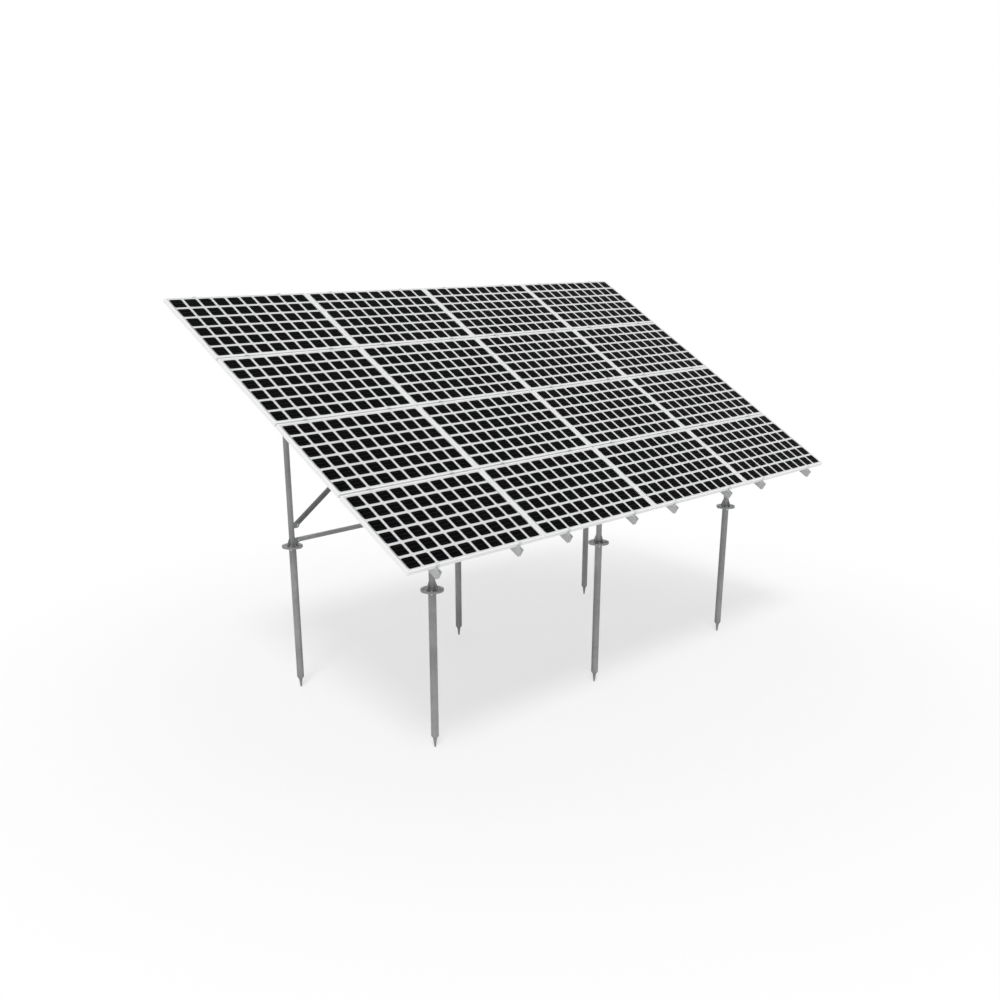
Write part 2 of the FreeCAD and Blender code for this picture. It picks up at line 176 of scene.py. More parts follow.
class EffectBook:
    """The shader node groups that several finishes share."""

    def build(self) -> None:
        """Makes every group once."""
        self._spangle()
        self._drawn_lines()
        self._moulded_grain()
        self._clouding()
        self._edge_round()
        self._settled_dust()

    @staticmethod
    def _start(name: str, inputs: dict[str, tuple[str, float | None]],
               outputs: dict[str, str]) -> tuple[Graph, bpy.types.Node, bpy.types.Node]:
        """Makes an empty group.

        Args:
            name: The group's name.
            inputs: Socket type and default of each input, by name.
            outputs: Socket type of each output, by name.

        Returns:
            The graph, its input node and its output node.
        """
        tree = bpy.data.node_groups.new(name, "ShaderNodeTree")
        for label, (kind, default) in inputs.items():
            socket = tree.interface.new_socket(label, in_out="INPUT", socket_type="NodeSocket" + kind)
            if default is not None:
                socket.default_value = default
        for label, kind in outputs.items():
            tree.interface.new_socket(label, in_out="OUTPUT", socket_type="NodeSocket" + kind)
        return Graph(tree), tree.nodes.new("NodeGroupInput"), tree.nodes.new("NodeGroupOutput")

    def _spangle(self) -> None:
        """Zinc crystals: flat patches that differ in tone, with faint borders and a dull mottle."""
        g, given, out = self._start("ZincSpangle", {"Vector": ("Vector", None), "Scale": ("Float", 90.0)},
                                    {"Tone": "Float", "Height": "Float"})
        patches = g.add("TexVoronoi", {"Vector": given.outputs[0], "Scale": given.outputs[1],
                                       "Randomness": 1.0})
        tone = g.add("SeparateColor", {0: patches.outputs["Color"]}).outputs[0]
        coarse = g.math("MULTIPLY", given.outputs[1], 0.16)
        mottle = g.add("TexNoise", {"Vector": given.outputs[0], "Scale": coarse, "Detail": 5.0,
                                    "Roughness": 0.6}).outputs[0]
        mixed = g.math("ADD", g.math("MULTIPLY", tone, 0.42), g.math("MULTIPLY", mottle, 0.58))
        fine = g.add("TexNoise", {"Vector": given.outputs[0],
                                  "Scale": g.math("MULTIPLY", given.outputs[1], 6.0), "Detail": 3.0})
        height = g.math("ADD", g.math("MULTIPLY", tone, 0.35), g.math("MULTIPLY", fine.outputs[0], 0.65))
        g.feed(out, {"Tone": mixed, "Height": height})

    def _drawn_lines(self) -> None:
        """Fine lines that an extrusion keeps from its die, long one way and narrow the others."""
        g, given, out = self._start("DrawnLines", {"Vector": ("Vector", None), "Stretch": ("Vector", None)},
                                    {"Tone": "Float", "Height": "Float"})
        stretched = g.add("VectorMath", {0: given.outputs[0], 1: given.outputs[1]}, operation="MULTIPLY")
        lines = g.add("TexNoise", {"Vector": stretched.outputs[0], "Scale": 1.0, "Detail": 4.0,
                                   "Roughness": 0.7}).outputs[0]
        g.feed(out, {"Tone": g.span(lines, 0.3, 0.7), "Height": lines})

    def _moulded_grain(self) -> None:
        """The fine pebbled skin of a moulding."""
        g, given, out = self._start("MouldedGrain", {"Vector": ("Vector", None), "Scale": ("Float", 900.0)},
                                    {"Tone": "Float", "Height": "Float"})
        pebbles = g.add("TexVoronoi", {"Vector": given.outputs[0], "Scale": given.outputs[1]},
                        feature="SMOOTH_F1")
        tone = g.add("TexNoise", {"Vector": given.outputs[0], "Scale": 40.0, "Detail": 4.0}).outputs[0]
        g.feed(out, {"Tone": tone, "Height": pebbles.outputs["Distance"]})

    def _clouding(self) -> None:
        """A slow drift of tone over a whole piece, as handling and weather leave it."""
        g, given, out = self._start("Clouding", {"Vector": ("Vector", None), "Scale": ("Float", 3.0)},
                                    {"Mask": "Float"})
        noise = g.add("TexNoise", {"Vector": given.outputs[0], "Scale": given.outputs[1], "Detail": 6.0,
                                   "Roughness": 0.55}).outputs[0]
        g.feed(out, {"Mask": g.span(noise, 0.32, 0.68)})

    def _edge_round(self) -> None:
        """Rounds the shading at edges, and marks them where the finish has rubbed."""
        g, given, out = self._start("EdgeRound", {"Radius": ("Float", 0.001), "Vector": ("Vector", None)},
                                    {"Normal": "Vector", "Wear": "Float"})
        rounded = g.add("Bevel", {"Radius": given.outputs[0]}, samples=6)
        flat = g.add("NewGeometry").outputs["True Normal"]
        along = g.add("VectorMath", {0: rounded.outputs[0], 1: flat}, operation="DOT_PRODUCT")
        bent = g.span(g.math("SUBTRACT", 1.0, along.outputs["Value"]), 0.02, 0.25)
        broken = g.add("TexNoise", {"Vector": given.outputs[1], "Scale": 55.0, "Detail": 4.0}).outputs[0]
        wear = g.math("MULTIPLY", bent, g.span(broken, 0.35, 0.6))
        g.feed(out, {"Normal": rounded.outputs[0], "Wear": wear})

    def _settled_dust(self) -> None:
        """A thin, patchy film on faces that look up."""
        g, given, out = self._start("SettledDust", {"Vector": ("Vector", None), "Amount": ("Float", 0.2)},
                                    {"Mask": "Float"})
        up = g.add("SeparateXYZ", {0: g.add("NewGeometry").outputs["Normal"]}).outputs[2]
        patchy = g.add("TexNoise", {"Vector": given.outputs[0], "Scale": 9.0, "Detail": 7.0,
                                    "Roughness": 0.65}).outputs[0]
        film = g.math("MULTIPLY", g.span(up, 0.25, 1.0), g.span(patchy, 0.3, 0.75))
        g.feed(out, {"Mask": g.math("MULTIPLY", film, given.outputs[1])})


# Finishes


PATTERN_SHARE = 0.62
DRY_DUST = (0.62, 0.58, 0.52)
SLOPE_TURN = -TILT


def new_material(name: str) -> tuple[bpy.types.Material, Graph, bpy.types.Node]:
    """Makes a material with an empty tree and a Principled shader joined to its output.

    Args:
        name: The material's name.

    Returns:
        The material, its graph and the shader node.
    """
    material = bpy.data.materials.new(name)
    material.use_nodes = True
    material.node_tree.nodes.clear()
    g = Graph(material.node_tree)
    shader = g.add("BsdfPrincipled")
    g.add("OutputMaterial", {"Surface": shader.outputs[0]})
    return material, g, shader


@dataclass(frozen=True)
class Finish:
    """A solid finish, from two tones of one colour and a fine grain.

    Attributes:
        name: The material's name.
        dark: Colour in the darker patches.
        light: Colour in the lighter patches.
        worn: Colour where edges have rubbed.
        metallic: How metallic it is.
        smooth: Roughness where it is smoothest.
        rough: Roughness where it is roughest.
        grain: The pattern it shows.
        stretch: How often the pattern repeats a metre along each axis.
        relief: Depth of the pattern.
        edge: Radius at which its edges are rounded.
        wear: How strongly edges show the worn colour.
        dust: How much dust lies on it.
        turn: Turn about X that lays the pattern along the piece.
        specular: Specular level.
    """

    name: str
    dark: Colour
    light: Colour
    worn: Colour
    metallic: float
    smooth: float
    rough: float
    grain: Grain
    stretch: Colour
    relief: float
    edge: float = 0.0010
    wear: float = 0.35
    dust: float = 0.12
    turn: float = 0.0
    specular: float = 0.5

    def material(self) -> bpy.types.Material:
        """Builds the material.

        Returns:
            The material.
        """
        material, g, shader = new_material(self.name)
        where = g.places(self.turn)
        pattern = self._pattern(g, where)
        cloud = g.group("Clouding", {"Vector": where, "Scale": 2.6}).outputs["Mask"]
        edges = g.group("EdgeRound", {"Radius": self.edge, "Vector": where})
        dust = g.group("SettledDust", {"Vector": where, "Amount": self.dust}).outputs["Mask"]
        tone = g.math("MULTIPLY", pattern.outputs["Tone"], PATTERN_SHARE)
        tone = g.math("ADD", tone, g.math("MULTIPLY", cloud, 1.0 - PATTERN_SHARE))
        colour = g.mix(tone, self.dark, self.light)
        colour = g.mix(g.math("MULTIPLY", edges.outputs["Wear"], self.wear), colour, self.worn)
        colour = g.mix(dust, colour, DRY_DUST)
        grip = g.span(tone, 0.1, 0.9, self.rough, self.smooth)
        grip = g.math("ADD", grip, g.math("MULTIPLY", dust, 0.4))
        bump = g.add("Bump", {"Strength": 0.6, "Distance": self.relief, "Height": pattern.outputs["Height"],
                              "Normal": edges.outputs["Normal"]})
        g.feed(shader, {"Base Color": colour, "Roughness": grip, "Normal": bump.outputs[0],
                        "Metallic": self.metallic, "Specular IOR Level": self.specular})
        return material

    def _pattern(self, g: Graph, where: bpy.types.NodeSocket) -> bpy.types.Node:
        """Places the group that draws the grain.

        Args:
            g: The material's graph.
            where: Places on the piece.

        Returns:
            The group's node.
        """
        if self.grain is Grain.DRAWN:
            return g.group("DrawnLines", {"Vector": where, "Stretch": self.stretch})
        name = "ZincSpangle" if self.grain is Grain.SPANGLE else "MouldedGrain"
        return g.group(name, {"Vector": where, "Scale": self.stretch[0]})


@dataclass(frozen=True)
class SheetFinish:
    """Clear glass in front of a white backing sheet, and the dull back of that sheet.

    Attributes:
        name: The material's name.
        front: Colour of the backing sheet through the glass.
        back: Colour of its rear side.
        gloss: Roughness of the glass.
        dull: Roughness of the rear side.
    """

    name: str = "backing_sheet_under_glass"
    front: Colour = (0.650, 0.656, 0.662)
    back: Colour = (0.72, 0.72, 0.71)
    gloss: float = 0.14
    dull: float = 0.55

    def material(self) -> bpy.types.Material:
        """Builds the material.

        Returns:
            The material.
        """
        material, g, shader = new_material(self.name)
        where = g.places(SLOPE_TURN)
        out_of_glass = (0.0, -math.sin(TILT), math.cos(TILT))
        facing = g.add("VectorMath", {0: g.add("NewGeometry").outputs["Normal"], 1: out_of_glass},
                       operation="DOT_PRODUCT").outputs["Value"]
        front = g.span(facing, 0.4, 0.6)
        cloud = g.group("Clouding", {"Vector": where, "Scale": 1.3}).outputs["Mask"]
        dust = g.group("SettledDust", {"Vector": where, "Amount": 0.10}).outputs["Mask"]
        weave = g.add("TexNoise", {"Vector": where, "Scale": 700.0, "Detail": 2.0}).outputs[0]
        shade = g.span(cloud, 0.0, 1.0, 0.97, 1.0)
        colour = g.mix(front, self.back, self.front)
        colour = g.add("VectorMath", {0: colour, "Scale": shade}, operation="SCALE").outputs[0]
        colour = g.mix(dust, colour, (0.66, 0.64, 0.60))
        rough = g.span(front, 0.0, 1.0, self.dull, self.gloss)
        rough = g.math("ADD", rough, g.math("MULTIPLY", dust, 0.5))
        bump = g.add("Bump", {"Strength": 0.15, "Distance": 0.0002, "Height": weave})
        g.feed(shader, {"Base Color": colour, "Roughness": rough, "Normal": bump.outputs[0],
                        "Specular IOR Level": 0.4})
        return material


@dataclass(frozen=True)
class CellFinish:
    """Black silicon under glass, with hair-thin printed fingers across the ribbons.

    Attributes:
        name: The material's name.
        darkest: Colour of the darkest cell.
        lightest: Colour of the lightest cell.
        finger: Colour of the printed fingers.
        finger_pitch: Distance between fingers.
        finger_share: Share of the pitch that a finger covers.
    """

    name: str = "black_cell_under_glass"
    darkest: Colour = (0.0004, 0.0005, 0.0006)
    lightest: Colour = (0.0014, 0.0016, 0.0021)
    finger: Colour = (0.006, 0.0063, 0.0073)
    finger_pitch: float = 0.0021
    finger_share: float = 0.10

    def material(self) -> bpy.types.Material:
        """Builds the material.

        Returns:
            The material.
        """
        material, g, shader = new_material(self.name)
        where = g.places(SLOPE_TURN)
        tone = g.add("Attribute", attribute_name=CELL_TONE).outputs["Fac"]
        crystals = g.add("TexNoise", {"Vector": where, "Scale": 45.0, "Detail": 5.0}).outputs[0]
        shade = g.math("ADD", g.math("MULTIPLY", tone, 0.7), g.math("MULTIPLY", crystals, 0.3))
        along = g.add("SeparateXYZ", {0: where}).outputs[0]
        phase = g.math("FRACT", g.math("DIVIDE", along, self.finger_pitch))
        aside = g.math("ABSOLUTE", g.math("SUBTRACT", phase, 0.5))
        line = g.span(aside, self.finger_share / 4, self.finger_share / 2 + 0.03, 1.0, 0.0)
        dust = g.group("SettledDust", {"Vector": where, "Amount": 0.003}).outputs["Mask"]
        colour = g.mix(shade, self.darkest, self.lightest)
        colour = g.mix(line, colour, self.finger)
        colour = g.mix(dust, colour, (0.5, 0.48, 0.45))
        rough = g.span(crystals, 0.3, 0.7, 0.16, 0.24)
        g.feed(shader, {"Base Color": colour, "Roughness": rough, "Specular IOR Level": 0.005})
        return material


@dataclass(frozen=True)
class FloorFinish:
    """Pale studio floor that keeps shadows near the object and fades to white further out.

    Attributes:
        name: The material's name.
        colour: Colour of the floor.
        pale: Share of plain white that the camera sees in the middle, which keeps the shadow light.
        near: Distance from the middle at which that share starts to grow.
        far: Distance from which the camera sees plain white.
    """

    name: str = "studio_floor"
    colour: Colour = (0.86, 0.86, 0.855)
    pale: float = 0.55
    near: float = 3.0
    far: float = 7.5

    def material(self) -> bpy.types.Material:
        """Builds the material.

        Returns:
            The material.
        """
        material, g, shader = new_material(self.name)
        where = g.add("TexCoord").outputs["Object"]
        distance = g.add("VectorMath", {0: where}, operation="LENGTH").outputs["Value"]
        fade = g.span(distance, self.near, self.far, self.pale, 1.0)
        seen = g.add("LightPath").outputs["Is Camera Ray"]
        white = g.add("Emission", {"Color": (1.0, 1.0, 1.0, 1.0), "Strength": 1.0})
        both = g.add("MixShader", {0: g.math("MULTIPLY", fade, seen), 1: shader.outputs[0],
                                   2: white.outputs[0]})
        below = g.math("MULTIPLY", g.add("NewGeometry").outputs["Backfacing"], seen)
        clear = g.add("BsdfTransparent")
        one_way = g.add("MixShader", {0: below, 1: both.outputs[0], 2: clear.outputs[0]})
        output = next(node for node in g.tree.nodes if node.type == "OUTPUT_MATERIAL")
        g.feed(output, {"Surface": one_way.outputs[0]})
        speckle = g.add("TexNoise", {"Vector": where, "Scale": 30.0, "Detail": 4.0}).outputs[0]
        rough = g.span(speckle, 0.3, 0.7, 0.75, 0.85)
        g.feed(shader, {"Base Color": (*self.colour, 1.0), "Roughness": rough, "Specular IOR Level": 0.15})
        return material


WHITE_FRAME = Finish("white_anodised_frame", dark=(0.86, 0.865, 0.87), light=(0.91, 0.912, 0.915),
                     worn=(0.94, 0.94, 0.94), metallic=0.0, smooth=0.30, rough=0.42, grain=Grain.DRAWN,
                     stretch=(3.0, 900.0, 900.0), relief=0.00005, edge=0.0007, wear=0.5, dust=0.07,
                     turn=SLOPE_TURN)
RAIL_ALUMINIUM = Finish("satin_rail_aluminium", dark=(0.38, 0.385, 0.39), light=(0.53, 0.535, 0.54),
                        worn=(0.78, 0.78, 0.79), metallic=0.85, smooth=0.30, rough=0.44, grain=Grain.DRAWN,
                        stretch=(900.0, 3.0, 900.0), relief=0.00008, edge=0.0008, wear=0.5, dust=0.05,
                        turn=SLOPE_TURN)
CLAMP_ALUMINIUM = Finish("satin_clamp_aluminium", dark=(0.60, 0.61, 0.62), light=(0.76, 0.77, 0.78),
                         worn=(0.88, 0.88, 0.89), metallic=0.85, smooth=0.28, rough=0.40, grain=Grain.DRAWN,
                         stretch=(12.0, 1100.0, 1100.0), relief=0.00006, edge=0.0006, wear=0.5, dust=0.05,
                         turn=SLOPE_TURN)
ZINC_STEEL = Finish("hot_dip_galvanised_steel", dark=(0.20, 0.203, 0.206), light=(0.37, 0.373, 0.376),
                    worn=(0.58, 0.58, 0.58), metallic=0.55, smooth=0.38, rough=0.56, grain=Grain.SPANGLE,
                    stretch=(120.0, 120.0, 120.0), relief=0.00025, edge=0.0016, wear=0.45, dust=0.07)
# Painted shade: a darker copy of the galvanised finish for the rear braces, standing in for the shade they
# lie in under the array.
SHADED_BRACE_ZINC = Finish("zinc_angle_painted_shade", dark=(0.115, 0.117, 0.119), light=(0.175, 0.177, 0.180),
                   worn=(0.38, 0.38, 0.38), metallic=0.55, smooth=0.44, rough=0.58, grain=Grain.SPANGLE,
                   stretch=(80.0, 80.0, 80.0), relief=0.00003, edge=0.0010, wear=0.30, dust=0.03)
WELD_STEEL = Finish("galvanised_weld_bead", dark=(0.24, 0.244, 0.248), light=(0.37, 0.375, 0.38),
                    worn=(0.50, 0.50, 0.50), metallic=0.55, smooth=0.42, rough=0.55, grain=Grain.SPANGLE,
                    stretch=(260.0, 260.0, 260.0), relief=0.0002, edge=0.0004, wear=0.2, dust=0.05)
BOLT_ZINC = Finish("zinc_plated_bolt", dark=(0.52, 0.53, 0.54), light=(0.66, 0.67, 0.68),
                   worn=(0.82, 0.82, 0.82), metallic=0.9, smooth=0.24, rough=0.38, grain=Grain.MOULDED,
                   stretch=(1500.0, 1500.0, 1500.0), relief=0.00005, edge=0.0004, wear=0.6, dust=0.04)
BLACK_BOX = Finish("black_box_moulding", dark=(0.010, 0.010, 0.011), light=(0.022, 0.022, 0.023),
                   worn=(0.05, 0.05, 0.05), metallic=0.0, smooth=0.42, rough=0.58, grain=Grain.MOULDED,
                   stretch=(1400.0, 1400.0, 1400.0), relief=0.0001, edge=0.0010, wear=0.3, dust=0.05)
CAP_GREY = Finish("grey_cap_moulding", dark=(0.40, 0.405, 0.41), light=(0.50, 0.505, 0.51),
                  worn=(0.60, 0.60, 0.60), metallic=0.0, smooth=0.40, rough=0.55, grain=Grain.MOULDED,
                  stretch=(1400.0, 1400.0, 1400.0), relief=0.0001, edge=0.0008, wear=0.3, dust=0.06)
RIBBON_TIN = Finish("dark_ribbon_under_glass", dark=(0.022, 0.0225, 0.024), light=(0.043, 0.044, 0.046),
                    worn=(0.045, 0.045, 0.046), metallic=0.2, smooth=0.28, rough=0.38, grain=Grain.DRAWN,
                    stretch=(8.0, 1500.0, 1500.0), relief=0.00002, edge=0.0001, wear=0.0, dust=0.01,
                    turn=SLOPE_TURN, specular=0.1)
SEALANT = Finish("pale_sealant", dark=(0.66, 0.66, 0.65), light=(0.74, 0.74, 0.73), worn=(0.75, 0.75, 0.74),
                 metallic=0.0, smooth=0.38, rough=0.50, grain=Grain.MOULDED, stretch=(500.0, 500.0, 500.0),
                 relief=0.0001, edge=0.0003, wear=0.0, dust=0.08)


# Shapes


# A nut's chamfer starts at this share of its half width and falls at this slope.
CHAMFER_START = 0.95
CHAMFER_SLOPE = math.tan(math.radians(30.0))
ROUND_STEPS = 24


def turned_ring(place: Matrix, radii: list[float], heights: list[float]) -> Ring:
    """Sets points round a place's Z, at even turns.

    Args:
        place: Where the ring stands.
        radii: Distance of each point from the axis.
        heights: Height of each point.

    Returns:
        The ring.
    """
    turns = [2 * math.pi * k / len(radii) for k in range(len(radii))]
    return [place @ Vector((r * math.cos(a), r * math.sin(a), z)) for a, r, z in zip(turns, radii, heights)]


def six_sided(flats: float) -> list[float]:
    """Finds the radii of a hexagon at even turns.

    Args:
        flats: Width across the flats.

    Returns:
        A radius for each of the round's steps.
    """
    sixth = math.pi / 3
    turns = [2 * math.pi * k / ROUND_STEPS for k in range(ROUND_STEPS)]
    return [flats / 2 / math.cos((a + sixth / 2) % sixth - sixth / 2) for a in turns]


def add_object(name: str, data: bpy.types.ID) -> bpy.types.Object:
    """Puts a new object in the scene.

    Args:
        name: Its name.
        data: Its mesh, light or camera.

    Returns:
        The object.
    """
    made = bpy.data.objects.new(name, data)
    bpy.context.scene.collection.objects.link(made)
    return made


class Workpiece:
    """A mesh in the making, gathered from closed shapes, that becomes one named piece."""

    def __init__(self, name: str) -> None:
        """Starts an empty mesh.

        Args:
            name: The piece's name.
        """
        self.name = name
        self.bm = bmesh.new()

    def loft(self, rings: list[Ring], closed: bool = False) -> None:
        """Adds a skin through rings of equal point counts.

        Args:
            rings: The rings, in order.
            closed: True joins the last ring to the first, False puts flat ends on.
        """
        loops = [[self.bm.verts.new(point) for point in ring] for ring in rings]
        pairs = list(zip(loops, loops[1:]))
        if closed:
            pairs.append((loops[-1], loops[0]))
        for low, high in pairs:
            for a, b, c, d in zip(low, low[1:] + low[:1], high[1:] + high[:1], high):
                self.bm.faces.new((a, b, c, d))
        if not closed:
            self.bm.faces.new(list(reversed(loops[0])))
            self.bm.faces.new(loops[-1])

    def prism(self, outline: Outline, depth: float, place: Matrix) -> None:
        """Adds a straight bar, its outline in the place's XY and its depth along Z."""
        self.loft([[place @ Vector((u, v, w)) for u, v in outline] for w in (0.0, depth)])

    def lathe(self, profile: Outline, place: Matrix, steps: int = 20) -> None:
        """Adds a turned shape from its radii and heights about the place's Z."""
        self.loft([turned_ring(place, [r] * steps, [z] * steps) for r, z in profile])

    def hexagon(self, flats: float, low: float, high: float, place: Matrix) -> None:
        """Adds a six-sided nut or head with chamfered corners.

        Args:
            flats: Width across the flats.
            low: Height of its lower face on the place's Z.
            high: Height of its upper face.
            place: Where it stands.
        """
        reach = six_sided(flats)
        face = [CHAMFER_START * flats / 2] * len(reach)
        drop = [(r - f) * CHAMFER_SLOPE for r, f in zip(reach, face)]
        levels = ((face, low, 0), (reach, low, 1), (reach, high, -1), (face, high, 0))
        self.loft([turned_ring(place, radii, [z + way * d for d in drop]) for radii, z, way in levels])

    def piece(self, material: bpy.types.Material, slot: Slot, sharp: float = 35.0) -> bpy.types.Object:
        """Makes the piece and sets it on the frame.

        Args:
            material: Its material.
            slot: Not used.
            sharp: Angle in degrees from which an edge stays sharp.

        Returns:
            The object.
        """
        bmesh.ops.recalc_face_normals(self.bm, faces=self.bm.faces)
        mesh = bpy.data.meshes.new(self.name)
        self.bm.to_mesh(mesh)
        self.bm.free()
        mesh.shade_smooth()
        mesh.set_sharp_from_angle(angle=math.radians(sharp))
        mesh.materials.append(material)
        made = add_object(self.name, mesh)
        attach(made, ROOT)
        log.info("%s: %d faces", self.name, len(mesh.polygons))
        return made


def placed(origin: Vector, x_axis: Vector, z_axis: Vector) -> Matrix:
    """Makes a place from two directions that are square to each other.

    Args:
        origin: Its origin.
        x_axis: Its X direction.
        z_axis: Its Z direction.

    Returns:
        The place.
    """
    x = x_axis.normalized()
    z = z_axis.normalized()
    y = z.cross(x)
    matrix = Matrix((x, y, z)).transposed().to_4x4()
    matrix.translation = origin
    return matrix


def box_outline(width: float, height: float) -> Outline:
    """A rectangle about the origin."""
    return [(u * width / 2, v * height / 2) for u, v in ((-1, -1), (1, -1), (1, 1), (-1, 1))]


# Where things are


@dataclass
class ArrayPlan:
    """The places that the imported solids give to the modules, rails, beams and posts.

    Attributes:
        columns: Modules along the array.
        rows: Modules up the slope.
        module_length: Length of a module along X.
        module_width: Width of a module up the slope.
        gap: Gap between modules.
        frame_height: Height of a module's frame.
        rail_inset: Distance from a module's end to the rail's middle.
        rail_width: Width of a rail.
        rail_height: Height of a rail.
        beam_height: Height of a beam.
        beam_width: Width of a beam.
        beam_wall: Wall of a beam.
        head_plate: Thickness of a post's head.
        flange: Thickness of a flange.
        lug: Thickness of a lug.
        foot_height: Height of the braces' lower bolts over the screw tips.
        head_drop: Distance from a post's top down to the braces' upper bolts.
        glass: Distance from the glass plane down to the laminate's face.
        sheet: Thickness of the laminate.
    """

    columns: int = 4
    rows: int = 4
    module_length: float = 1.640
    module_width: float = 0.992
    gap: float = 0.020
    frame_height: float = 0.040
    rail_inset: float = 0.325
    rail_width: float = 0.040
    rail_height: float = 0.075
    beam_height: float = 0.080
    beam_width: float = 0.050
    beam_wall: float = 0.0025
    head_plate: float = 0.008
    flange: float = 0.010
    lug: float = 0.008
    foot_height: float = 1.815
    head_drop: float = 0.225
    glass: float = 0.0023
    sheet: float = 0.0050
    along: Vector = field(init=False)
    up_slope: Vector = field(init=False)
    out: Vector = field(init=False)
    corner: Vector = field(init=False)

    def __post_init__(self) -> None:
        """Reads the array's lower edge from the first module's frame."""
        self.along = Vector((1.0, 0.0, 0.0))
        self.up_slope = Vector((0.0, math.cos(TILT), math.sin(TILT)))
        self.out = Vector((0.0, -math.sin(TILT), math.cos(TILT)))
        low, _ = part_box("module_frame_r1c1")
        self.corner = Vector((0.0, low.y, low.z + self.frame_height * math.cos(TILT)))

    @property
    def length(self) -> float:
        """Length of the array along X."""
        return self.columns * self.module_length + (self.columns - 1) * self.gap

    @property
    def width(self) -> float:
        """Width of the array up the slope."""
        return self.rows * self.module_width + (self.rows - 1) * self.gap

    @property
    def beam_top(self) -> float:
        """Level of the beams' top, out of the glass."""
        return -self.frame_height - self.rail_height

    @property
    def head_bottom(self) -> float:
        """Level of the underside of the post heads."""
        return self.beam_top - self.beam_height - self.head_plate

    def point(self, x: float, s: float, n: float) -> Vector:
        """A point from its distances along, up and out of the array."""
        return self.corner + self.along * x + self.up_slope * s + self.out * n

    def slope_at(self, y: float, n: float) -> float:
        """Distance up the slope where a vertical line at y meets the level n."""
        return (y - self.corner.y + n * math.sin(TILT)) / math.cos(TILT)

    def brace_height(self, y: float) -> float:
        """Height of the braces' upper bolts on a post whose middle is at y."""
        return self.point(0.0, self.slope_at(y, self.head_bottom), self.head_bottom).z - self.head_drop

    def beam_web(self, y: float) -> float:
        """Distance up the slope of a beam's web."""
        return self.slope_at(y, self.head_bottom) - self.beam_width / 2

    def module(self, row: int, column: int) -> tuple[float, float]:
        """Lower left corner of a module, as x and s."""
        x = -self.length / 2 + column * (self.module_length + self.gap)
        return x, row * (self.module_width + self.gap)

    def rails(self) -> list[float]:
        """Finds the middle lines of the rails.

        Returns:
            Their x, from left to right.
        """
        lines = []
        for column in range(self.columns):
            left = self.module(0, column)[0]
            lines += [left + self.rail_inset, left + self.module_length - self.rail_inset]
        return lines

    def screw(self, row: str, place: str) -> Vector:
        """Middle of a ground screw's top."""
        low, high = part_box(f"ground_screw_{row}_{place}")
        return Vector(((low.x + high.x) / 2, (low.y + high.y) / 2, high.z))


# Modules


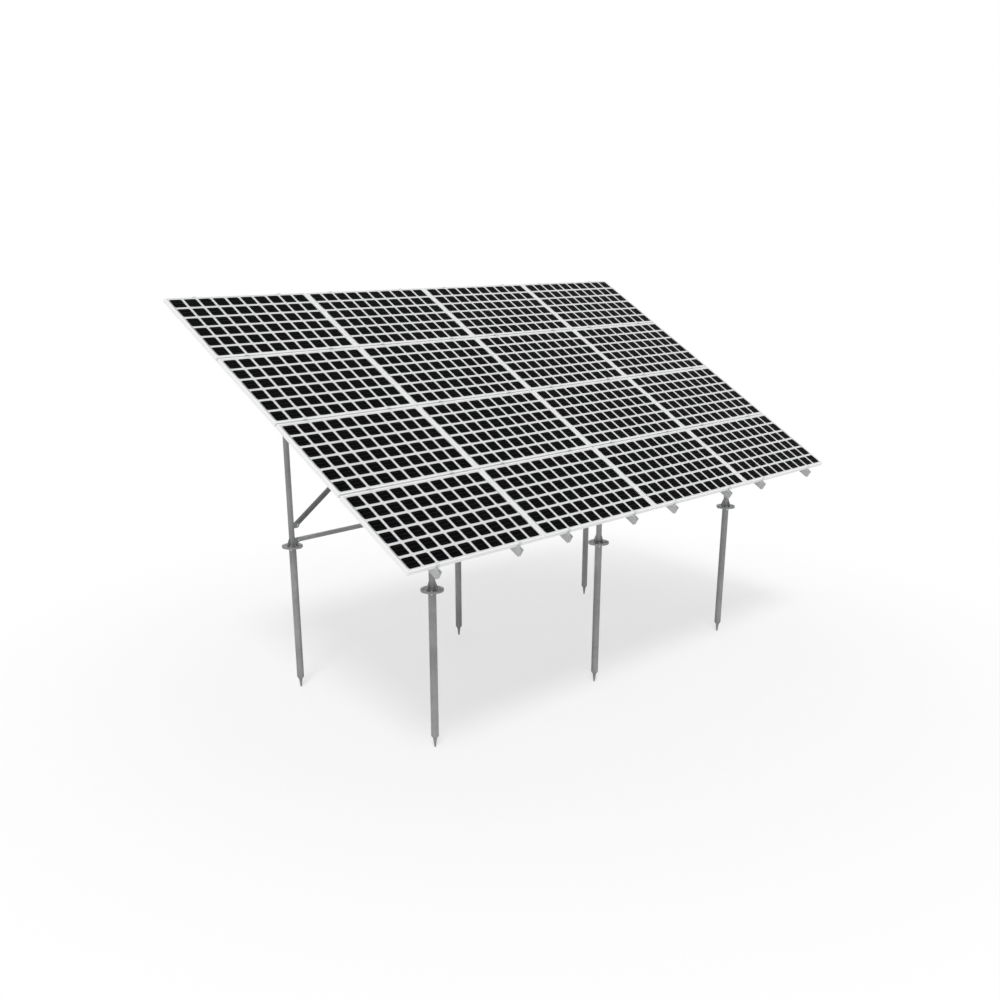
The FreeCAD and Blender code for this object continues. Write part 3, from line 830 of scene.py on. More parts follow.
@dataclass
class ModuleFaces:
    """Cells, ribbons and sealant on the modules.

    Attributes:
        plan: The array's places.
        across: Cells along a module.
        down: Cells up a module.
        pitch: Distance between cells.
        cell: Side of a cell.
        nick: Cut corner of a cell.
        proud: How far a cell stands over the laminate.
        ribbons: Ribbons on each string of cells.
        ribbon_width: Width of a ribbon.
        collector_width: Width of the ribbons that join the strings.
        end_run: How far the ribbons run on past the last cell.
        bead: Size of the sealant fillet.
        crest: Height of the fillet's middle as a share of its size.
        lip: Reach of the frame's lip over the laminate.
    """

    plan: ArrayPlan
    across: int = 10
    down: int = 6
    pitch: float = 0.160
    cell: float = 0.132
    nick: float = 0.010
    proud: float = 0.0002
    ribbons: int = 3
    ribbon_width: float = 0.0013
    collector_width: float = 0.0040
    end_run: float = 0.007
    bead: float = 0.0012
    crest: float = 0.72
    lip: float = 0.011

    def build(self) -> None:
        """Builds the pieces of every row."""
        chance = random.Random(960)
        cell_material = CellFinish().material()
        ribbon_material = RIBBON_TIN.material()
        sealant_material = SEALANT.material()
        for row in range(self.plan.rows):
            self._cells(row, chance, cell_material)
            self._ribbons(row, ribbon_material)
            self._sealant(row, sealant_material)

    def _centres(self, count: int, total: float) -> list[float]:
        """Middles of the cells along one side of a module."""
        return [total / 2 + (k - (count - 1) / 2) * self.pitch for k in range(count)]

    def _cells(self, row: int, chance: random.Random, material: bpy.types.Material) -> None:
        """Lays the cells of one row of modules, each a thin tile with cut corners.

        Args:
            row: The row, counted from the lowest.
            chance: Source of each cell's own tone.
            material: The cells' material.
        """
        plan = self.plan
        work = Workpiece(f"cells_row_{row + 1}")
        half = self.cell / 2
        cut = half - self.nick
        outline = [(-cut, -half), (cut, -half), (half, -cut), (half, cut),
                   (cut, half), (-cut, half), (-half, cut), (-half, -cut)]
        tones: list[float] = []
        for column in range(plan.columns):
            x0, s0 = plan.module(row, column)
            for x in self._centres(self.across, plan.module_length):
                for s in self._centres(self.down, plan.module_width):
                    origin = plan.point(x0 + x, s0 + s, -plan.glass - self.proud)
                    work.prism(outline, 2 * self.proud, placed(origin, plan.along, plan.out))
                    tones += [chance.random()] * (2 * len(outline))
        made = work.piece(material, Slot.LAMINATE)
        shade = made.data.attributes.new(CELL_TONE, "FLOAT", "POINT")
        shade.data.foreach_set("value", tones)

    def _ribbons(self, row: int, material: bpy.types.Material) -> None:
        """Lays the thin ribbons along each string and the wide ones that join the strings.

        Args:
            row: The row, counted from the lowest.
            material: The ribbons' material.
        """
        plan = self.plan
        work = Workpiece(f"ribbons_row_{row + 1}")
        level = -plan.glass - self.proud
        reach = (self.across - 1) * self.pitch / 2 + self.cell / 2 + self.end_run
        strings = self._centres(self.down, plan.module_width)
        step = self.cell / self.ribbons
        for column in range(plan.columns):
            x0, s0 = plan.module(row, column)
            middle = x0 + plan.module_length / 2
            for s in strings:
                for k in range(self.ribbons):
                    aside = (k - (self.ribbons - 1) / 2) * step
                    origin = plan.point(middle - reach, s0 + s + aside, level)
                    work.prism(box_outline(self.ribbon_width, 0.0001),
                               2 * reach, self._lying(origin, 2.5 * self.proud))
            for end, pairs in ((-reach, ((0, 1), (2, 3), (4, 5))), (reach, ((1, 2), (3, 4)))):
                for first, last in pairs:
                    low = s0 + strings[first] - step - self.ribbon_width
                    high = s0 + strings[last] + step + self.ribbon_width
                    origin = plan.point(middle + end, low, level + 2.0 * self.proud)
                    turn = placed(origin, plan.along, plan.up_slope)
                    work.prism(box_outline(self.collector_width, 2.0 * self.proud), high - low, turn)
        work.piece(material, Slot.LAMINATE)

    def _lying(self, origin: Vector, rise: float) -> Matrix:
        """A place whose Z runs along the array, raised out of the glass."""
        return placed(origin + self.plan.out * rise, self.plan.up_slope, self.plan.along)

    def _sealant(self, row: int, material: bpy.types.Material) -> None:
        """Runs a small fillet round each frame's lip, in front of and behind the laminate.

        Args:
            row: The row, counted from the lowest.
            material: The sealant's material.
        """
        plan = self.plan
        work = Workpiece(f"sealant_row_{row + 1}")
        front = -plan.glass
        rear = front - plan.sheet
        for column in range(plan.columns):
            outer = self._rim(row, column, self.lip)
            inner = self._rim(row, column, self.lip + self.bead)
            for level, rise in ((front, self.bead), (rear, -self.bead)):
                rings = []
                for (x, s), (x_in, s_in) in zip(outer, inner):
                    crest = plan.point((x + x_in) / 2, (s + s_in) / 2, level + self.crest * rise)
                    rings.append([plan.point(x, s, level), plan.point(x_in, s_in, level), crest,
                                  plan.point(x, s, level + rise)])
                work.loft(rings, closed=True)
        work.piece(material, Slot.FRAME)

    def _rim(self, row: int, column: int, inset: float) -> Outline:
        """Finds the corners of a module's face, drawn in by an inset.

        Args:
            row: The row, counted from the lowest.
            column: The column, counted from the left.
            inset: Distance from the module's edge.

        Returns:
            The corners, as x and s.
        """
        plan = self.plan
        x, s = plan.module(row, column)
        corners = box_outline(plan.module_length - 2 * inset, plan.module_width - 2 * inset)
        return [(x + plan.module_length / 2 + u, s + plan.module_width / 2 + v) for u, v in corners]


# Junction boxes


# Turned shapes on the boxes, as radii and heights. The nut is its width, foot and top.
SCREW_CAP = [(0.0036, 0.0), (0.0036, 0.0010), (0.0028, 0.0016)]
GLAND_BASE = [(0.0085, 0.0), (0.0085, 0.0045), (0.0078, 0.0052)]
GLAND_NUT = (0.0150, 0.0050, 0.0125)
GLAND_DOME = [(0.0066, 0.0120), (0.0066, 0.0160), (0.0052, 0.0185), (0.0036, 0.0190)]
GLAND_PLUG = [(0.0034, 0.0185), (0.0034, 0.0200), (0.0026, 0.0206)]


@dataclass
class BoxFittings:
    """Lids and cable glands of the junction boxes.

    Attributes:
        plan: The array's places.
        length: Length of a box up the slope.
        width: Width of a box along X.
        height: Height of a box.
        from_end: Distance from the module's end.
        lid_margin: How far the lid stays inside the box.
        lid_height: How far the lid stands out of the box.
        lid_corner: Radius of the lid's corners.
        lid_bevel: Bevel round the lid.
        bite: How far the lid and the glands reach into the box.
        sunk: How far the ribs and the screw caps reach into the lid.
        ribs: Where the lid's ribs lie, from its middle.
        rib_margin: How far the ribs end before the lid's sides.
        rib_width: Width of a rib.
        rib_corner: Radius of a rib's corners.
        rib_height: Height of a rib.
        cap_margin: Distance of the screw caps from the lid's sides.
        gland_spacing: Distance between the two glands.
    """

    plan: ArrayPlan
    length: float = 0.110
    width: float = 0.084
    height: float = 0.022
    from_end: float = 0.070
    lid_margin: float = 0.008
    lid_height: float = 0.0025
    lid_corner: float = 0.006
    lid_bevel: float = 0.0008
    bite: float = 0.001
    sunk: float = 0.0004
    ribs: tuple[float, ...] = (-0.020, 0.0, 0.020)
    rib_margin: float = 0.013
    rib_width: float = 0.0035
    rib_corner: float = 0.0015
    rib_height: float = 0.0016
    cap_margin: float = 0.007
    gland_spacing: float = 0.066

    def build(self) -> None:
        """Builds the lids and glands of all boxes."""
        material = BLACK_BOX.material()
        lids = Workpiece("junction_box_lids")
        glands = Workpiece("junction_box_glands")
        for row in range(self.plan.rows):
            for column in range(self.plan.columns):
                x0, s0 = self.plan.module(row, column)
                side = -1.0 if x0 < 0 else 1.0
                end = x0 if x0 < 0 else x0 + self.plan.module_length
                x = end - side * (self.from_end + self.width / 2)
                self._lid(lids, x, s0 + self.plan.module_width / 2)
                self._glands(glands, x, s0 + self.plan.module_width / 2, -side)
        lids.piece(material, Slot.BOX)
        glands.piece(material, Slot.BOX)

    def _lid(self, work: Workpiece, x: float, s: float) -> None:
        """Adds a lid with rounded corners, three ribs and four screw caps.

        Args:
            work: The piece that it belongs to.
            x: Middle of the box along the array.
            s: Middle of the box up the slope.
        """
        plan = self.plan
        floor = -plan.glass - plan.sheet - self.height
        down = placed(plan.point(x, s, floor + self.bite), plan.along, -plan.out)
        width = self.width - 2 * self.lid_margin
        length = self.length - 2 * self.lid_margin
        top = self.bite + self.lid_height
        rings = []
        for z, inset in ((0.0, 0.0), (top - self.lid_bevel, 0.0), (top, self.lid_bevel)):
            shape = rounded_outline(width - 2 * inset, length - 2 * inset, self.lid_corner - inset)
            rings.append([down @ Vector((u, v, z)) for u, v in shape])
        work.loft(rings)
        face = floor - self.lid_height + self.sunk
        rib = rounded_outline(width - 2 * self.rib_margin, self.rib_width, self.rib_corner)
        for offset in self.ribs:
            work.prism(rib, self.rib_height, placed(plan.point(x, s + offset, face), plan.along, -plan.out))
        for u, v in box_outline(width - 2 * self.cap_margin, length - 2 * self.cap_margin):
            work.lathe(SCREW_CAP, placed(plan.point(x + u, s + v, face), plan.along, -plan.out), 16)

    def _glands(self, work: Workpiece, x: float, s: float, side: float) -> None:
        """Adds two closed cable glands on the box's inner end.

        Args:
            work: The piece that they belong to.
            x: Middle of the box along the array.
            s: Middle of the box up the slope.
            side: Direction along X in which they point, -1 or 1.
        """
        plan = self.plan
        level = -plan.glass - plan.sheet - self.height / 2
        for offset in (-self.gland_spacing / 2, self.gland_spacing / 2):
            start = plan.point(x + side * (self.width / 2 - self.bite), s + offset, level)
            place = placed(start, plan.up_slope, plan.along * side)
            work.lathe(GLAND_BASE, place, 24)
            work.hexagon(*GLAND_NUT, place)
            work.lathe(GLAND_DOME, place, 24)
            work.lathe(GLAND_PLUG, place, 16)


def rounded_outline(width: float, height: float, radius: float, steps: int = 5) -> Outline:
    """A rectangle about the origin with round corners.

    Args:
        width: Its width.
        height: Its height.
        radius: Radius of its corners.
        steps: Segments of each corner.

    Returns:
        The outline, anticlockwise.
    """
    outline = []
    for u, v, start in ((1, -1, -90), (1, 1, 0), (-1, 1, 90), (-1, -1, 180)):
        for k in range(steps + 1):
            turn = math.radians(start + 90.0 * k / steps)
            outline.append((u * (width / 2 - radius) + radius * math.cos(turn),
                            v * (height / 2 - radius) + radius * math.sin(turn)))
    return outline


# Rail ends


@dataclass
class RailCaps:
    """Moulded plugs in both ends of each rail, with a raised panel under the slot.

    Attributes:
        plan: The array's places.
        overhang: How far a rail reaches past the modules.
        wall: Wall of a rail.
        slot_width: Width of the slot's cavity.
        slot_depth: Depth of the slot's floor under the rail's top.
        slot_lip: Thickness of the lips over the slot.
        fit: Gap round the plug.
        recess: How far the plug's face lies inside the rail.
        depth: Depth of the plug.
        panel_margin: Distance of the panel from the plug's sides.
        panel_corner: Radius of the panel's corners.
        panel_bevel: Bevel round the panel.
        panel_levels: Heights of the panel's foot, shoulder and face over the plug's face.
    """

    plan: ArrayPlan
    overhang: float = 0.055
    wall: float = 0.0025
    slot_width: float = 0.020
    slot_depth: float = 0.013
    slot_lip: float = 0.003
    fit: float = 0.0002
    recess: float = 0.0004
    depth: float = 0.006
    panel_margin: float = 0.005
    panel_corner: float = 0.004
    panel_bevel: float = 0.0006
    panel_levels: tuple[float, float, float] = (-0.001, 0.0001, 0.0004)

    def build(self) -> None:
        """Builds the plugs of all rails."""
        work = Workpiece("rail_end_caps")
        plan = self.plan
        for x in plan.rails():
            for s, outward in ((-self.overhang, -1.0), (plan.width + self.overhang, 1.0)):
                face = plan.point(x, s - outward * self.recess, -plan.frame_height)
                self._plug(work, placed(face, plan.along * -outward, plan.up_slope * outward))
        work.piece(CAP_GREY.material(), Slot.RAIL)

    def _plug(self, work: Workpiece, place: Matrix) -> None:
        """Adds one plug.

        Args:
            work: The piece that it belongs to.
            place: The middle of the rail's top at its end, with Z outwards and Y out of the glass.
        """
        half = self.plan.rail_width / 2 - self.wall - self.fit
        floor = -self.plan.rail_height + self.wall + self.fit
        roof = -self.slot_lip - self.fit
        jacket = self.slot_width / 2 + self.wall + self.fit
        under = -self.slot_depth - self.wall - self.fit
        outline = [(-half, floor), (half, floor), (half, roof), (jacket, roof),
                   (jacket, under), (-jacket, under), (-jacket, roof), (-half, roof)]
        work.loft([[place @ Vector((u, v, z)) for u, v in outline] for z in (-self.depth, 0.0)])
        middle = (under + floor) / 2
        rings = []
        for z, inset in zip(self.panel_levels, (0.0, 0.0, self.panel_bevel)):
            less = 2 * (self.panel_margin + inset)
            panel = rounded_outline(2 * half - less, under - floor - less, self.panel_corner - inset)
            rings.append([place @ Vector((u, v + middle, z)) for u, v in panel])
        work.loft(rings)


# Fasteners


@dataclass(frozen=True)
class BoltSize:
    """A metric bolt with its nut and washer.

    Attributes:
        thread: Diameter of the thread.
        pitch: Pitch of the thread.
        flats: Width across the flats.
        head: Height of the head.
        nut: Height of the nut.
        washer: Outer diameter of the washer.
        plate: Thickness of the washer.
        tail: How far the thread stands out of the nut.
    """

    thread: float
    pitch: float
    flats: float
    head: float
    nut: float
    washer: float
    plate: float
    tail: float


class Bolt(Enum):
    """The sizes used on the mounting."""

    FLANGE = BoltSize(0.012, 0.00175, 0.018, 0.0075, 0.0105, 0.024, 0.0025, 0.0070)
    BRACKET = BoltSize(0.010, 0.0015, 0.016, 0.0064, 0.0084, 0.020, 0.0020, 0.0050)
    CLAMP = BoltSize(0.008, 0.00125, 0.013, 0.0053, 0.0068, 0.016, 0.0016, 0.0040)


# How far the core and the thread start inside the nut, and the chamfer at the tip.
CORE_START = 0.0010
THREAD_START = 0.0005
TIP_CHAMFER = 0.0006
# Where a thread's crest starts and ends, as shares of the pitch.
CREST = (0.45, 0.6)
# Rounding of a washer's lower and upper edge.
WASHER_EDGES = (0.0003, 0.0004)


@dataclass
class Fasteners:
    """Bolts, nuts and washers.

    Attributes:
        plan: The array's places.
        flange_circle: Diameter of the circle that the flange bolts stand on.
        flange_bolts: Bolts in a flange.
        head_spacing: Distance between the two bolts of a post head.
        lug_reach: Distance from a post's middle to a lug's bolt.
        angle_thickness: Thickness of a tie or brace.
        tie_height: Height of the ties' bolts over the screw tips.
        bracket_thickness: Thickness of a rail bracket.
        bracket_bolt: Distance of a bracket's bolts from its corner.
        clamp_wall: Wall of a module clamp.
        clamp_depth: Depth of a middle clamp.
        clamp_foot: Distance from the array's edge out to the screw of an end clamp.
        shank: Radius of the shanks under the middle clamps.
        shank_end: How far the shanks reach into the rails.
        shank_bite: How far the shanks reach into the clamps.
        socket_radius: Radius of a socket screw's head.
        socket_height: Height of that head.
        socket_bevel: Bevel round that head.
        socket_flats: Width of the socket across its flats.
        socket_depth: Depth of the socket.
        chance: Source of the angles at which heads and nuts come to rest.
    """

    plan: ArrayPlan
    flange_circle: float = 0.170
    flange_bolts: int = 4
    head_spacing: float = 0.070
    lug_reach: float = 0.075
    angle_thickness: float = 0.004
    tie_height: float = 1.652
    bracket_thickness: float = 0.005
    bracket_bolt: float = 0.028
    clamp_wall: float = 0.003
    clamp_depth: float = 0.030
    clamp_foot: float = 0.0145
    shank: float = 0.004
    shank_end: float = 0.002
    shank_bite: float = 0.001
    socket_radius: float = 0.0063
    socket_height: float = 0.0080
    socket_bevel: float = 0.0008
    socket_flats: float = 0.0060
    socket_depth: float = 0.0045
    chance: random.Random = field(default_factory=lambda: random.Random(24))

    def build(self) -> None:
        """Builds every group of fasteners."""
        material = BOLT_ZINC.material()
        self._flange_bolts().piece(material, Slot.STEEL)
        self._head_bolts().piece(material, Slot.STEEL)
        self._lug_bolts().piece(material, Slot.STEEL)
        self._bracket_bolts().piece(material, Slot.CLAMP)
        self._clamp_screws().piece(material, Slot.CLAMP)

    def _turned(self, place: Matrix) -> Matrix:
        """The place turned by a chance angle about its own Z, as bolts come to rest."""
        return place @ Matrix.Rotation(self.chance.uniform(0.0, math.pi / 3), 4, "Z")

    def _head(self, work: Workpiece, place: Matrix, bolt: Bolt) -> None:
        """Adds a washer and a hexagon head.

        Args:
            work: The piece that they belong to.
            place: Where they stand, with Z out of the face.
            bolt: The bolt's size.
        """
        size = bolt.value
        work.lathe(self._washer(size), place, 28)
        work.hexagon(size.flats, size.plate, size.plate + size.head, self._turned(place))

    def _nut(self, work: Workpiece, place: Matrix, bolt: Bolt) -> None:
        """Adds a washer, a nut and the bolt's threaded end.

        Args:
            work: The piece that they belong to.
            place: Where they stand, with Z out of the face.
            bolt: The bolt's size.
        """
        size = bolt.value
        work.lathe(self._washer(size), place, 28)
        work.hexagon(size.flats, size.plate, size.plate + size.nut, self._turned(place))
        work.lathe(self._thread(size), place)

    def _through(self, work: Workpiece, head_at: Vector, nut_at: Vector, way: Vector, bolt: Bolt) -> None:
        """Adds a bolt with its head on one face and its nut on the other.

        Args:
            work: The piece that it belongs to.
            head_at: Where the head stands.
            nut_at: Where the nut stands.
            way: Direction in which the head stands out.
            bolt: The bolt's size.
        """
        self._head(work, placed(head_at, self.plan.along, way), bolt)
        self._nut(work, placed(nut_at, self.plan.along, -way), bolt)

    @staticmethod
    def _thread(size: BoltSize) -> Outline:
        """Draws the threaded end that stands out of a nut.

        Args:
            size: The bolt's size.

        Returns:
            Its radii and heights, from inside the nut to the tip.
        """
        top = size.plate + size.nut
        tip = top + size.tail
        radius = size.thread / 2
        root = radius - 0.5 * size.pitch
        profile = [(root, top - CORE_START)]
        height = top - THREAD_START
        while height < tip - TIP_CHAMFER - size.pitch:
            profile += [(root, height), *((radius, height + share * size.pitch) for share in CREST)]
            height += size.pitch
        return profile + [(root, height), (root, tip - TIP_CHAMFER), (root - TIP_CHAMFER, tip)]

    @staticmethod
    def _washer(size: BoltSize) -> Outline:
        """Profile of a washer with a rounded rim."""
        rim = size.washer / 2
        low, high = WASHER_EDGES
        return [(rim - low, 0.0), (rim, low), (rim, size.plate - high), (rim - high, size.plate)]

    def _flange_bolts(self) -> Workpiece:
        """Sets the bolts down through each pair of flanges.

        Returns:
            The bolts as one piece.
        """
        work = Workpiece("flange_bolts")
        for row in ROWS:
            for place in PLACES:
                top = self.plan.screw(row, place)
                for k in range(self.flange_bolts):
                    turn = 2 * math.pi * (k + 0.5) / self.flange_bolts
                    aside = Vector((math.cos(turn), math.sin(turn), 0.0)) * (self.flange_circle / 2)
                    rise = UP * self.plan.flange
                    self._through(work, top + aside + rise, top + aside - rise, UP, Bolt.FLANGE)
        return work

    def _head_bolts(self) -> Workpiece:
        """Sets the bolts through each post head's upstand and the beam's web.

        Returns:
            The bolts as one piece.
        """
        work = Workpiece("post_head_bolts")
        plan = self.plan
        level = plan.beam_top - plan.beam_height / 2
        for row in ROWS:
            for place in PLACES:
                post = plan.screw(row, place)
                web = plan.beam_web(post.y)
                for offset in (-self.head_spacing / 2, self.head_spacing / 2):
                    x = post.x + offset
                    outer = plan.point(x, web - plan.head_plate, level)
                    inner = plan.point(x, web + plan.beam_wall, level)
                    self._through(work, outer, inner, -plan.up_slope, Bolt.FLANGE)
        return work

    def _lug_bolts(self) -> Workpiece:
        """Sets the bolts through the lugs and the ends of ties and braces.

        Returns:
            The bolts as one piece.
        """
        work = Workpiece("brace_bolts")
        plan = self.plan
        post = plan.screw("rear", "middle")
        span = plan.screw("rear", "right").x - self.lug_reach
        spots = ((span, self.tie_height), (span, plan.foot_height),
                 (self.lug_reach, self.tie_height), (self.lug_reach, plan.brace_height(post.y)))
        front = Vector((0.0, -1.0, 0.0))
        for side in (-1, 1):
            for x, z in spots:
                face = Vector((side * x, post.y - plan.lug / 2, z))
                rear = Vector((side * x, post.y + plan.lug / 2 + self.angle_thickness, z))
                self._through(work, face, rear, front, Bolt.FLANGE)
        return work

    def _bracket_bolts(self) -> Workpiece:
        """Sets the bolts that hold each rail bracket to its beam and its rail.

        Returns:
            The bolts as one piece.
        """
        work = Workpiece("bracket_bolts")
        plan = self.plan
        beam_face = plan.beam_top + self.bracket_thickness
        for x in plan.rails():
            side = -1.0 if x < 0 else 1.0
            for row in ROWS:
                s = plan.beam_web(plan.screw(row, "left").y) + plan.beam_width / 2
                foot = x + side * (plan.rail_width / 2 + self.bracket_bolt)
                leg = x + side * (plan.rail_width / 2 + self.bracket_thickness)
                under = plan.point(foot, s, plan.beam_top - plan.beam_wall)
                self._through(work, plan.point(foot, s, beam_face), under, plan.out, Bolt.BRACKET)
                upright = plan.point(leg, s, plan.beam_top + self.bracket_bolt)
                self._head(work, placed(upright, plan.up_slope, plan.along * side), Bolt.BRACKET)
        return work

    def _clamp_screws(self) -> Workpiece:
        """Sets socket screws in the middle clamps and hexagon screws on the end clamps' feet.

        Returns:
            The screws as one piece.
        """
        work = Workpiece("clamp_screws")
        plan = self.plan
        seat = self.clamp_wall - self.clamp_depth
        end = plan.frame_height + self.shank_end
        shank = [(self.shank, 0.0), (self.shank, end - self.clamp_depth + self.shank_bite)]
        for x in plan.rails():
            for row in range(1, plan.rows):
                s = plan.module(row, 0)[1] - plan.gap / 2
                self._socket_screw(work, placed(plan.point(x, s, seat), plan.along, plan.out))
                work.lathe(shank, placed(plan.point(x, s, -end), plan.along, plan.out), 16)
            for s, out in ((0.0, -1.0), (plan.width, 1.0)):
                spot = plan.point(x, s + out * self.clamp_foot, self.clamp_wall - plan.frame_height)
                self._head(work, placed(spot, plan.along, plan.out), Bolt.CLAMP)
        return work

    def _socket_screw(self, work: Workpiece, place: Matrix) -> None:
        """Adds a round head with a six-sided socket, built as one skin down into the socket.

        Args:
            work: The piece that it belongs to.
            place: Where it stands, with Z out of the clamp.
        """
        turned = self._turned(place)
        top = self.socket_height
        side = [self.socket_radius] * ROUND_STEPS
        brim = [self.socket_radius - self.socket_bevel] * ROUND_STEPS
        inner = six_sided(self.socket_flats)
        levels = ((side, 0.0), (side, top - self.socket_bevel), (brim, top), (inner, top),
                  (inner, top - self.socket_depth))
        work.loft([turned_ring(turned, radii, [z] * ROUND_STEPS) for radii, z in levels])


# Welds


@dataclass
class WeldRun:
    """A fillet of weld with the scales that the torch leaves.

    Attributes:
        radius: Radius of the bead.
        pitch: Distance between scales.
        ripple: How much the scales swell.
        drift: How far the size may drift from one ring to the next.
        hold: Share of the drift that the next ring keeps.
        taper: Size of the ends of an open bead.
        sides: Points round the bead.
        samples: Rings to a scale.
        chance: Source of the drift.
    """

    radius: float = 0.0040
    pitch: float = 0.0046
    ripple: float = 0.11
    drift: float = 0.02
    hold: float = 0.8
    taper: float = 0.45
    sides: int = 8
    samples: int = 4
    chance: random.Random = field(default_factory=lambda: random.Random(7))

    def run(self, work: Workpiece, path: list[Vector], up: Vector, closed: bool = False) -> None:
        """Lays a bead.

        Args:
            work: The piece it belongs to.
            path: Points along it.
            up: A direction that is never along the path.
            closed: True where it goes round.
        """
        points = self._even(path, closed)
        count = len(points)
        rings = []
        wobble = 0.0
        for k, point in enumerate(points):
            before = points[(k - 1) % count] if closed or k > 0 else point
            after = points[(k + 1) % count] if closed or k < count - 1 else point
            forward = (after - before).normalized()
            aside = forward.cross(up).normalized()
            rise = aside.cross(forward).normalized()
            wobble = self.hold * wobble + self.chance.uniform(-self.drift, self.drift)
            phase = (k % self.samples) / self.samples
            swell = 1.0 + self.ripple * (1.0 - 2.0 * phase) + wobble
            if not closed and k in (0, count - 1):
                swell *= self.taper
            size = self.radius * swell
            ring = []
            for j in range(self.sides):
                turn = 2 * math.pi * j / self.sides
                ring.append(point + aside * (size * math.cos(turn)) + rise * (size * math.sin(turn)))
            rings.append(ring)
        work.loft(rings, closed)

    def _even(self, path: list[Vector], closed: bool) -> list[Vector]:
        """Divides the path into equal steps, a whole number of scales.

        Args:
            path: Points along it.
            closed: True where it goes round.

        Returns:
            The points of the steps.
        """
        corners = path + [path[0]] if closed else path
        lengths = [(b - a).length for a, b in zip(corners, corners[1:])]
        total = sum(lengths)
        scales = max(2, round(total / self.pitch))
        count = scales * self.samples
        stops = [total * k / count for k in range(count if closed else count + 1)]
        points = []
        leg = 0
        passed = 0.0
        for stop in stops:
            while leg < len(lengths) - 1 and passed + lengths[leg] < stop:
                passed += lengths[leg]
                leg += 1
            share = (stop - passed) / lengths[leg]
            points.append(corners[leg].lerp(corners[leg + 1], min(share, 1.0)))
        return points


@dataclass
class Welds:
    """The weld beads of posts and ground screws.

    Attributes:
        plan: The array's places.
        post_radius: Radius of a post.
        screw_radius: Radius of a ground screw.
        ribs: Ribs of a post.
        rib_reach: Reach of a rib from the post's side.
        rib_height: Height of a rib.
        rib_thickness: Thickness of a rib.
        lug_radius: Half the height of a lug.
        seam: Radius of the straight beads.
        off_face: Distance of a bead's middle from the face beside it.
        off_post: Distance of a straight bead's middle from the post's side.
        start: How far from the corner the straight beads start.
        stop: How far before an edge they stop.
    """

    plan: ArrayPlan
    post_radius: float = 0.030
    screw_radius: float = 0.038
    ribs: int = 4
    rib_reach: float = 0.036
    rib_height: float = 0.090
    rib_thickness: float = 0.008
    lug_radius: float = 0.028
    seam: float = 0.0030
    off_face: float = 0.0003
    off_post: float = 0.0002
    start: float = 0.003
    stop: float = 0.002

    def build(self) -> None:
        """Builds the beads of each row of posts."""
        material = WELD_STEEL.material()
        for row in ROWS:
            rings = Workpiece(f"weld_rings_{row}")
            seams = Workpiece(f"weld_seams_{row}")
            for place in PLACES:
                top = self.plan.screw(row, place)
                self._rings(rings, top)
                self._rib_seams(seams, top)
                if row == "rear":
                    self._lug_seams(seams, top, place)
            rings.piece(material, Slot.STEEL, sharp=80.0)
            seams.piece(material, Slot.STEEL, sharp=80.0)

    @staticmethod
    def _circle(centre: Vector, radius: float, steps: int = 72) -> list[Vector]:
        """Points on a level circle."""
        turns = [2 * math.pi * k / steps for k in range(steps)]
        return [centre + Vector((radius * math.cos(a), radius * math.sin(a), 0.0)) for a in turns]

    def _rings(self, work: Workpiece, top: Vector) -> None:
        """Lays beads round the post's foot, round its sloping top and under the screw's flange.

        Args:
            work: The piece that they belong to.
            top: Middle of the ground screw's top.
        """
        plan = self.plan
        bead = WeldRun()
        rise = UP * (plan.flange + self.off_face)
        bead.run(work, self._circle(top + rise, self.post_radius + self.off_face), UP, closed=True)
        bead.run(work, self._circle(top - rise, self.screw_radius + self.off_face), UP, closed=True)
        level = plan.head_bottom - self.off_face
        round_post = self._circle(Vector((top.x, top.y, 0.0)), self.post_radius + self.off_face)
        crown = [plan.point(point.x, plan.slope_at(point.y, level), level) for point in round_post]
        bead.run(work, crown, plan.out, closed=True)

    def _rib_seams(self, work: Workpiece, top: Vector) -> None:
        """Lays beads on both sides of each rib, up the post and along the flange.

        Args:
            work: The piece that they belong to.
            top: Middle of the ground screw's top.
        """
        bead = WeldRun(radius=self.seam)
        base = self.plan.flange
        heights = (base + self.start, base + self.rib_height - self.stop)
        reaches = (self.post_radius + self.start, self.post_radius + self.rib_reach - self.stop)
        for k in range(self.ribs):
            turn = 2 * math.pi * k / self.ribs
            out = Vector((math.cos(turn), math.sin(turn), 0.0))
            aside = Vector((-math.sin(turn), math.cos(turn), 0.0))
            for side in (-1, 1):
                line = top + aside * (side * (self.rib_thickness / 2 + self.off_face))
                at_post = line + out * (self.post_radius + self.off_post)
                bead.run(work, [at_post + UP * height for height in heights], out)
                at_flange = line + UP * (base + self.off_face)
                bead.run(work, [at_flange + out * reach for reach in reaches], UP)

    def _lug_seams(self, work: Workpiece, top: Vector, place: str) -> None:
        """Lays beads on both faces of the lugs that hold the braces.

        Args:
            work: The piece that they belong to.
            top: Middle of the ground screw's top.
            place: Which post of the rear row it is.
        """
        plan = self.plan
        bead = WeldRun(radius=self.seam)
        z = plan.brace_height(top.y) if place == "middle" else plan.foot_height
        rise = UP * (self.lug_radius - self.stop)
        for side in {"left": (1,), "middle": (-1, 1), "right": (-1,)}[place]:
            for face in (-1, 1):
                y = face * (plan.lug / 2 + self.off_face)
                x = side * (math.sqrt(self.post_radius ** 2 - y ** 2) + self.off_post)
                line = Vector((top.x + x, top.y + y, z))
                bead.run(work, [line - rise, line + rise], plan.along)


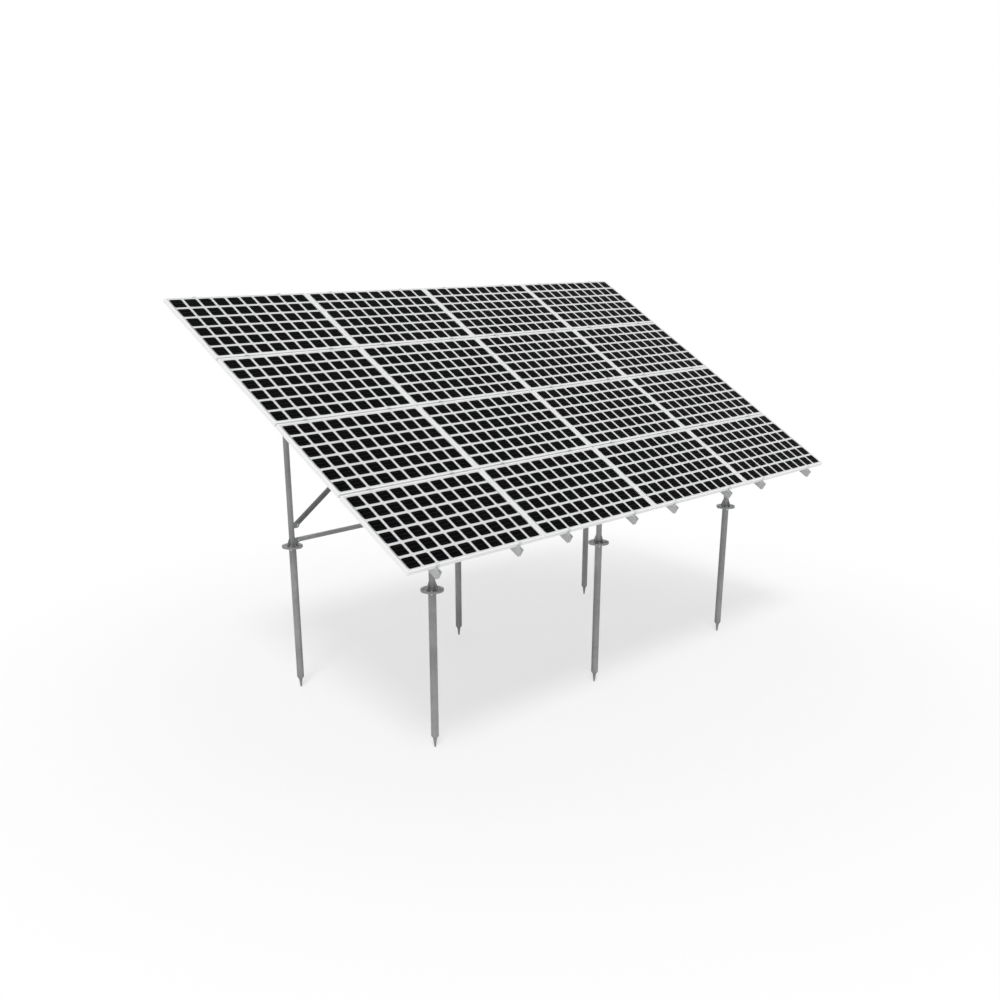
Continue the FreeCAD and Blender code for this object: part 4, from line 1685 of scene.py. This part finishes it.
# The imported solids


class FrameDress:
    """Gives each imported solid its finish, by the start of its name."""

    def __init__(self, nodes: dict[str, bpy.types.Object]) -> None:
        """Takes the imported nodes.

        Args:
            nodes: The objects by name.
        """
        self.nodes = nodes

    def dress(self) -> None:
        """Sets one material on every node."""
        zinc = ZINC_STEEL.material()
        clamp = CLAMP_ALUMINIUM.material()
        finishes = {
            "module_frame": WHITE_FRAME.material(),
            "laminate_row": SheetFinish().material(),
            "junction_boxes": bpy.data.materials.get(BLACK_BOX.name) or BLACK_BOX.material(),
            "slope_rail": RAIL_ALUMINIUM.material(),
            "rail_brackets": clamp,
            "mid_clamps": clamp,
            "end_clamps": clamp,
            # Painted shade: the rear braces take the darker copy of the zinc finish.
            "rear_brace": SHADED_BRACE_ZINC.material(),
            "front_": zinc,
            "rear_": zinc,
            "ground_screw": zinc,
        }
        for name, node in self.nodes.items():
            start = next(key for key in finishes if name.startswith(key))
            node.data.materials.clear()
            node.data.materials.append(finishes[start])
        log.info("dressed %d packed nodes", len(self.nodes))


# Studio


@dataclass
class Studio:
    """Floor, light and camera.

    Attributes:
        plan: The array's places.
        floor_size: Side of the floor.
        sky: Strength of the world's light on the object.
        key: Strength of the main lamp.
        key_spread: Apparent size of the main lamp in degrees.
        key_from: Direction that the main light comes from.
        key_away: How far off that lamp hangs, which its light doesn't depend on.
        stand: The camera's place from the array's lower edge line at ground level.
        azimuth: Compass angle of the view from +Y towards +X, in degrees.
        dip: How far the view looks down, in degrees.
        sensor: Width of the camera's sensor in millimetres.
        lens: Focal length in millimetres.
        shift: Shift of the frame.
        reach: Distance up to which the camera sees.
    """

    plan: ArrayPlan
    floor_size: float = 120.0
    sky: float = 0.62
    key: float = 1.55
    key_spread: float = 16.0
    key_from: tuple[float, float, float] = (-0.50, -0.42, 1.0)
    key_away: float = 10.0
    stand: tuple[float, float, float] = (-8.980, -6.628, 4.668)
    azimuth: float = 45.196
    dip: float = 19.72
    sensor: float = 36.0
    lens: float = 40.07
    shift: tuple[float, float] = (0.0045, 0.137)
    reach: float = 300.0

    def build(self) -> None:
        """Sets up the stage."""
        bpy.context.scene.view_settings.view_transform = "Standard"
        self._floor()
        self._world()
        self._lamp()
        self._camera()

    def _floor(self) -> None:
        """Lays a level floor under the screw tips."""
        bm = bmesh.new()
        bm.faces.new([bm.verts.new((u, v, 0.0)) for u, v in box_outline(self.floor_size, self.floor_size)])
        mesh = bpy.data.meshes.new("studio_floor")
        bm.to_mesh(mesh)
        bm.free()
        mesh.materials.append(FloorFinish().material())
        add_object("studio_floor", mesh)

    def _world(self) -> None:
        """Makes an even sky that the camera, metal and glass see as white."""
        world = bpy.data.worlds.new("studio_world")
        world.use_nodes = True
        world.node_tree.nodes.clear()
        g = Graph(world.node_tree)
        path = g.add("LightPath")
        seen = g.math("MAXIMUM", path.outputs["Is Camera Ray"],
                      g.math("MAXIMUM", path.outputs["Is Glossy Ray"], path.outputs["Is Transmission Ray"]))
        strength = g.span(seen, 0.0, 1.0, self.sky, 1.0)
        light = g.add("Background", {"Color": (1.0, 1.0, 1.0, 1.0), "Strength": strength})
        g.add("OutputWorld", {"Surface": light.outputs[0]})
        bpy.context.scene.world = world

    def _lamp(self) -> None:
        """Hangs the soft main light on the left."""
        data = bpy.data.lights.new("key_light", "SUN")
        data.energy = self.key
        data.angle = math.radians(self.key_spread)
        lamp = add_object("key_light", data)
        lamp.rotation_euler = Vector(self.key_from).to_track_quat("Z", "Y").to_euler()
        lamp.location = Vector(self.key_from) * self.key_away

    def _camera(self) -> None:
        """Stands the camera where the photograph was taken from."""
        data = bpy.data.cameras.new("camera")
        data.sensor_width = self.sensor
        data.lens = self.lens
        data.shift_x, data.shift_y = self.shift
        data.clip_end = self.reach
        camera = add_object("camera", data)
        x, y, z = self.stand
        camera.location = (x, self.plan.corner.y + y, z)
        turn = math.radians(self.azimuth)
        dip = math.radians(self.dip)
        view = Vector((math.sin(turn) * math.cos(dip), math.cos(turn) * math.cos(dip), -math.sin(dip)))
        camera.rotation_euler = view.to_track_quat("-Z", "Y").to_euler()
        bpy.context.scene.camera = camera


def main() -> None:
    """Builds the pieces in order."""
    logging.basicConfig(level=logging.INFO, format="%(message)s")
    plan = ArrayPlan()
    EffectBook().build()
    ModuleFaces(plan).build()
    BoxFittings(plan).build()
    RailCaps(plan).build()
    Fasteners(plan).build()
    Welds(plan).build()
    FrameDress(frame["nodes"]).dress()
    Studio(plan).build()


if __name__ == "__main__":
    main()
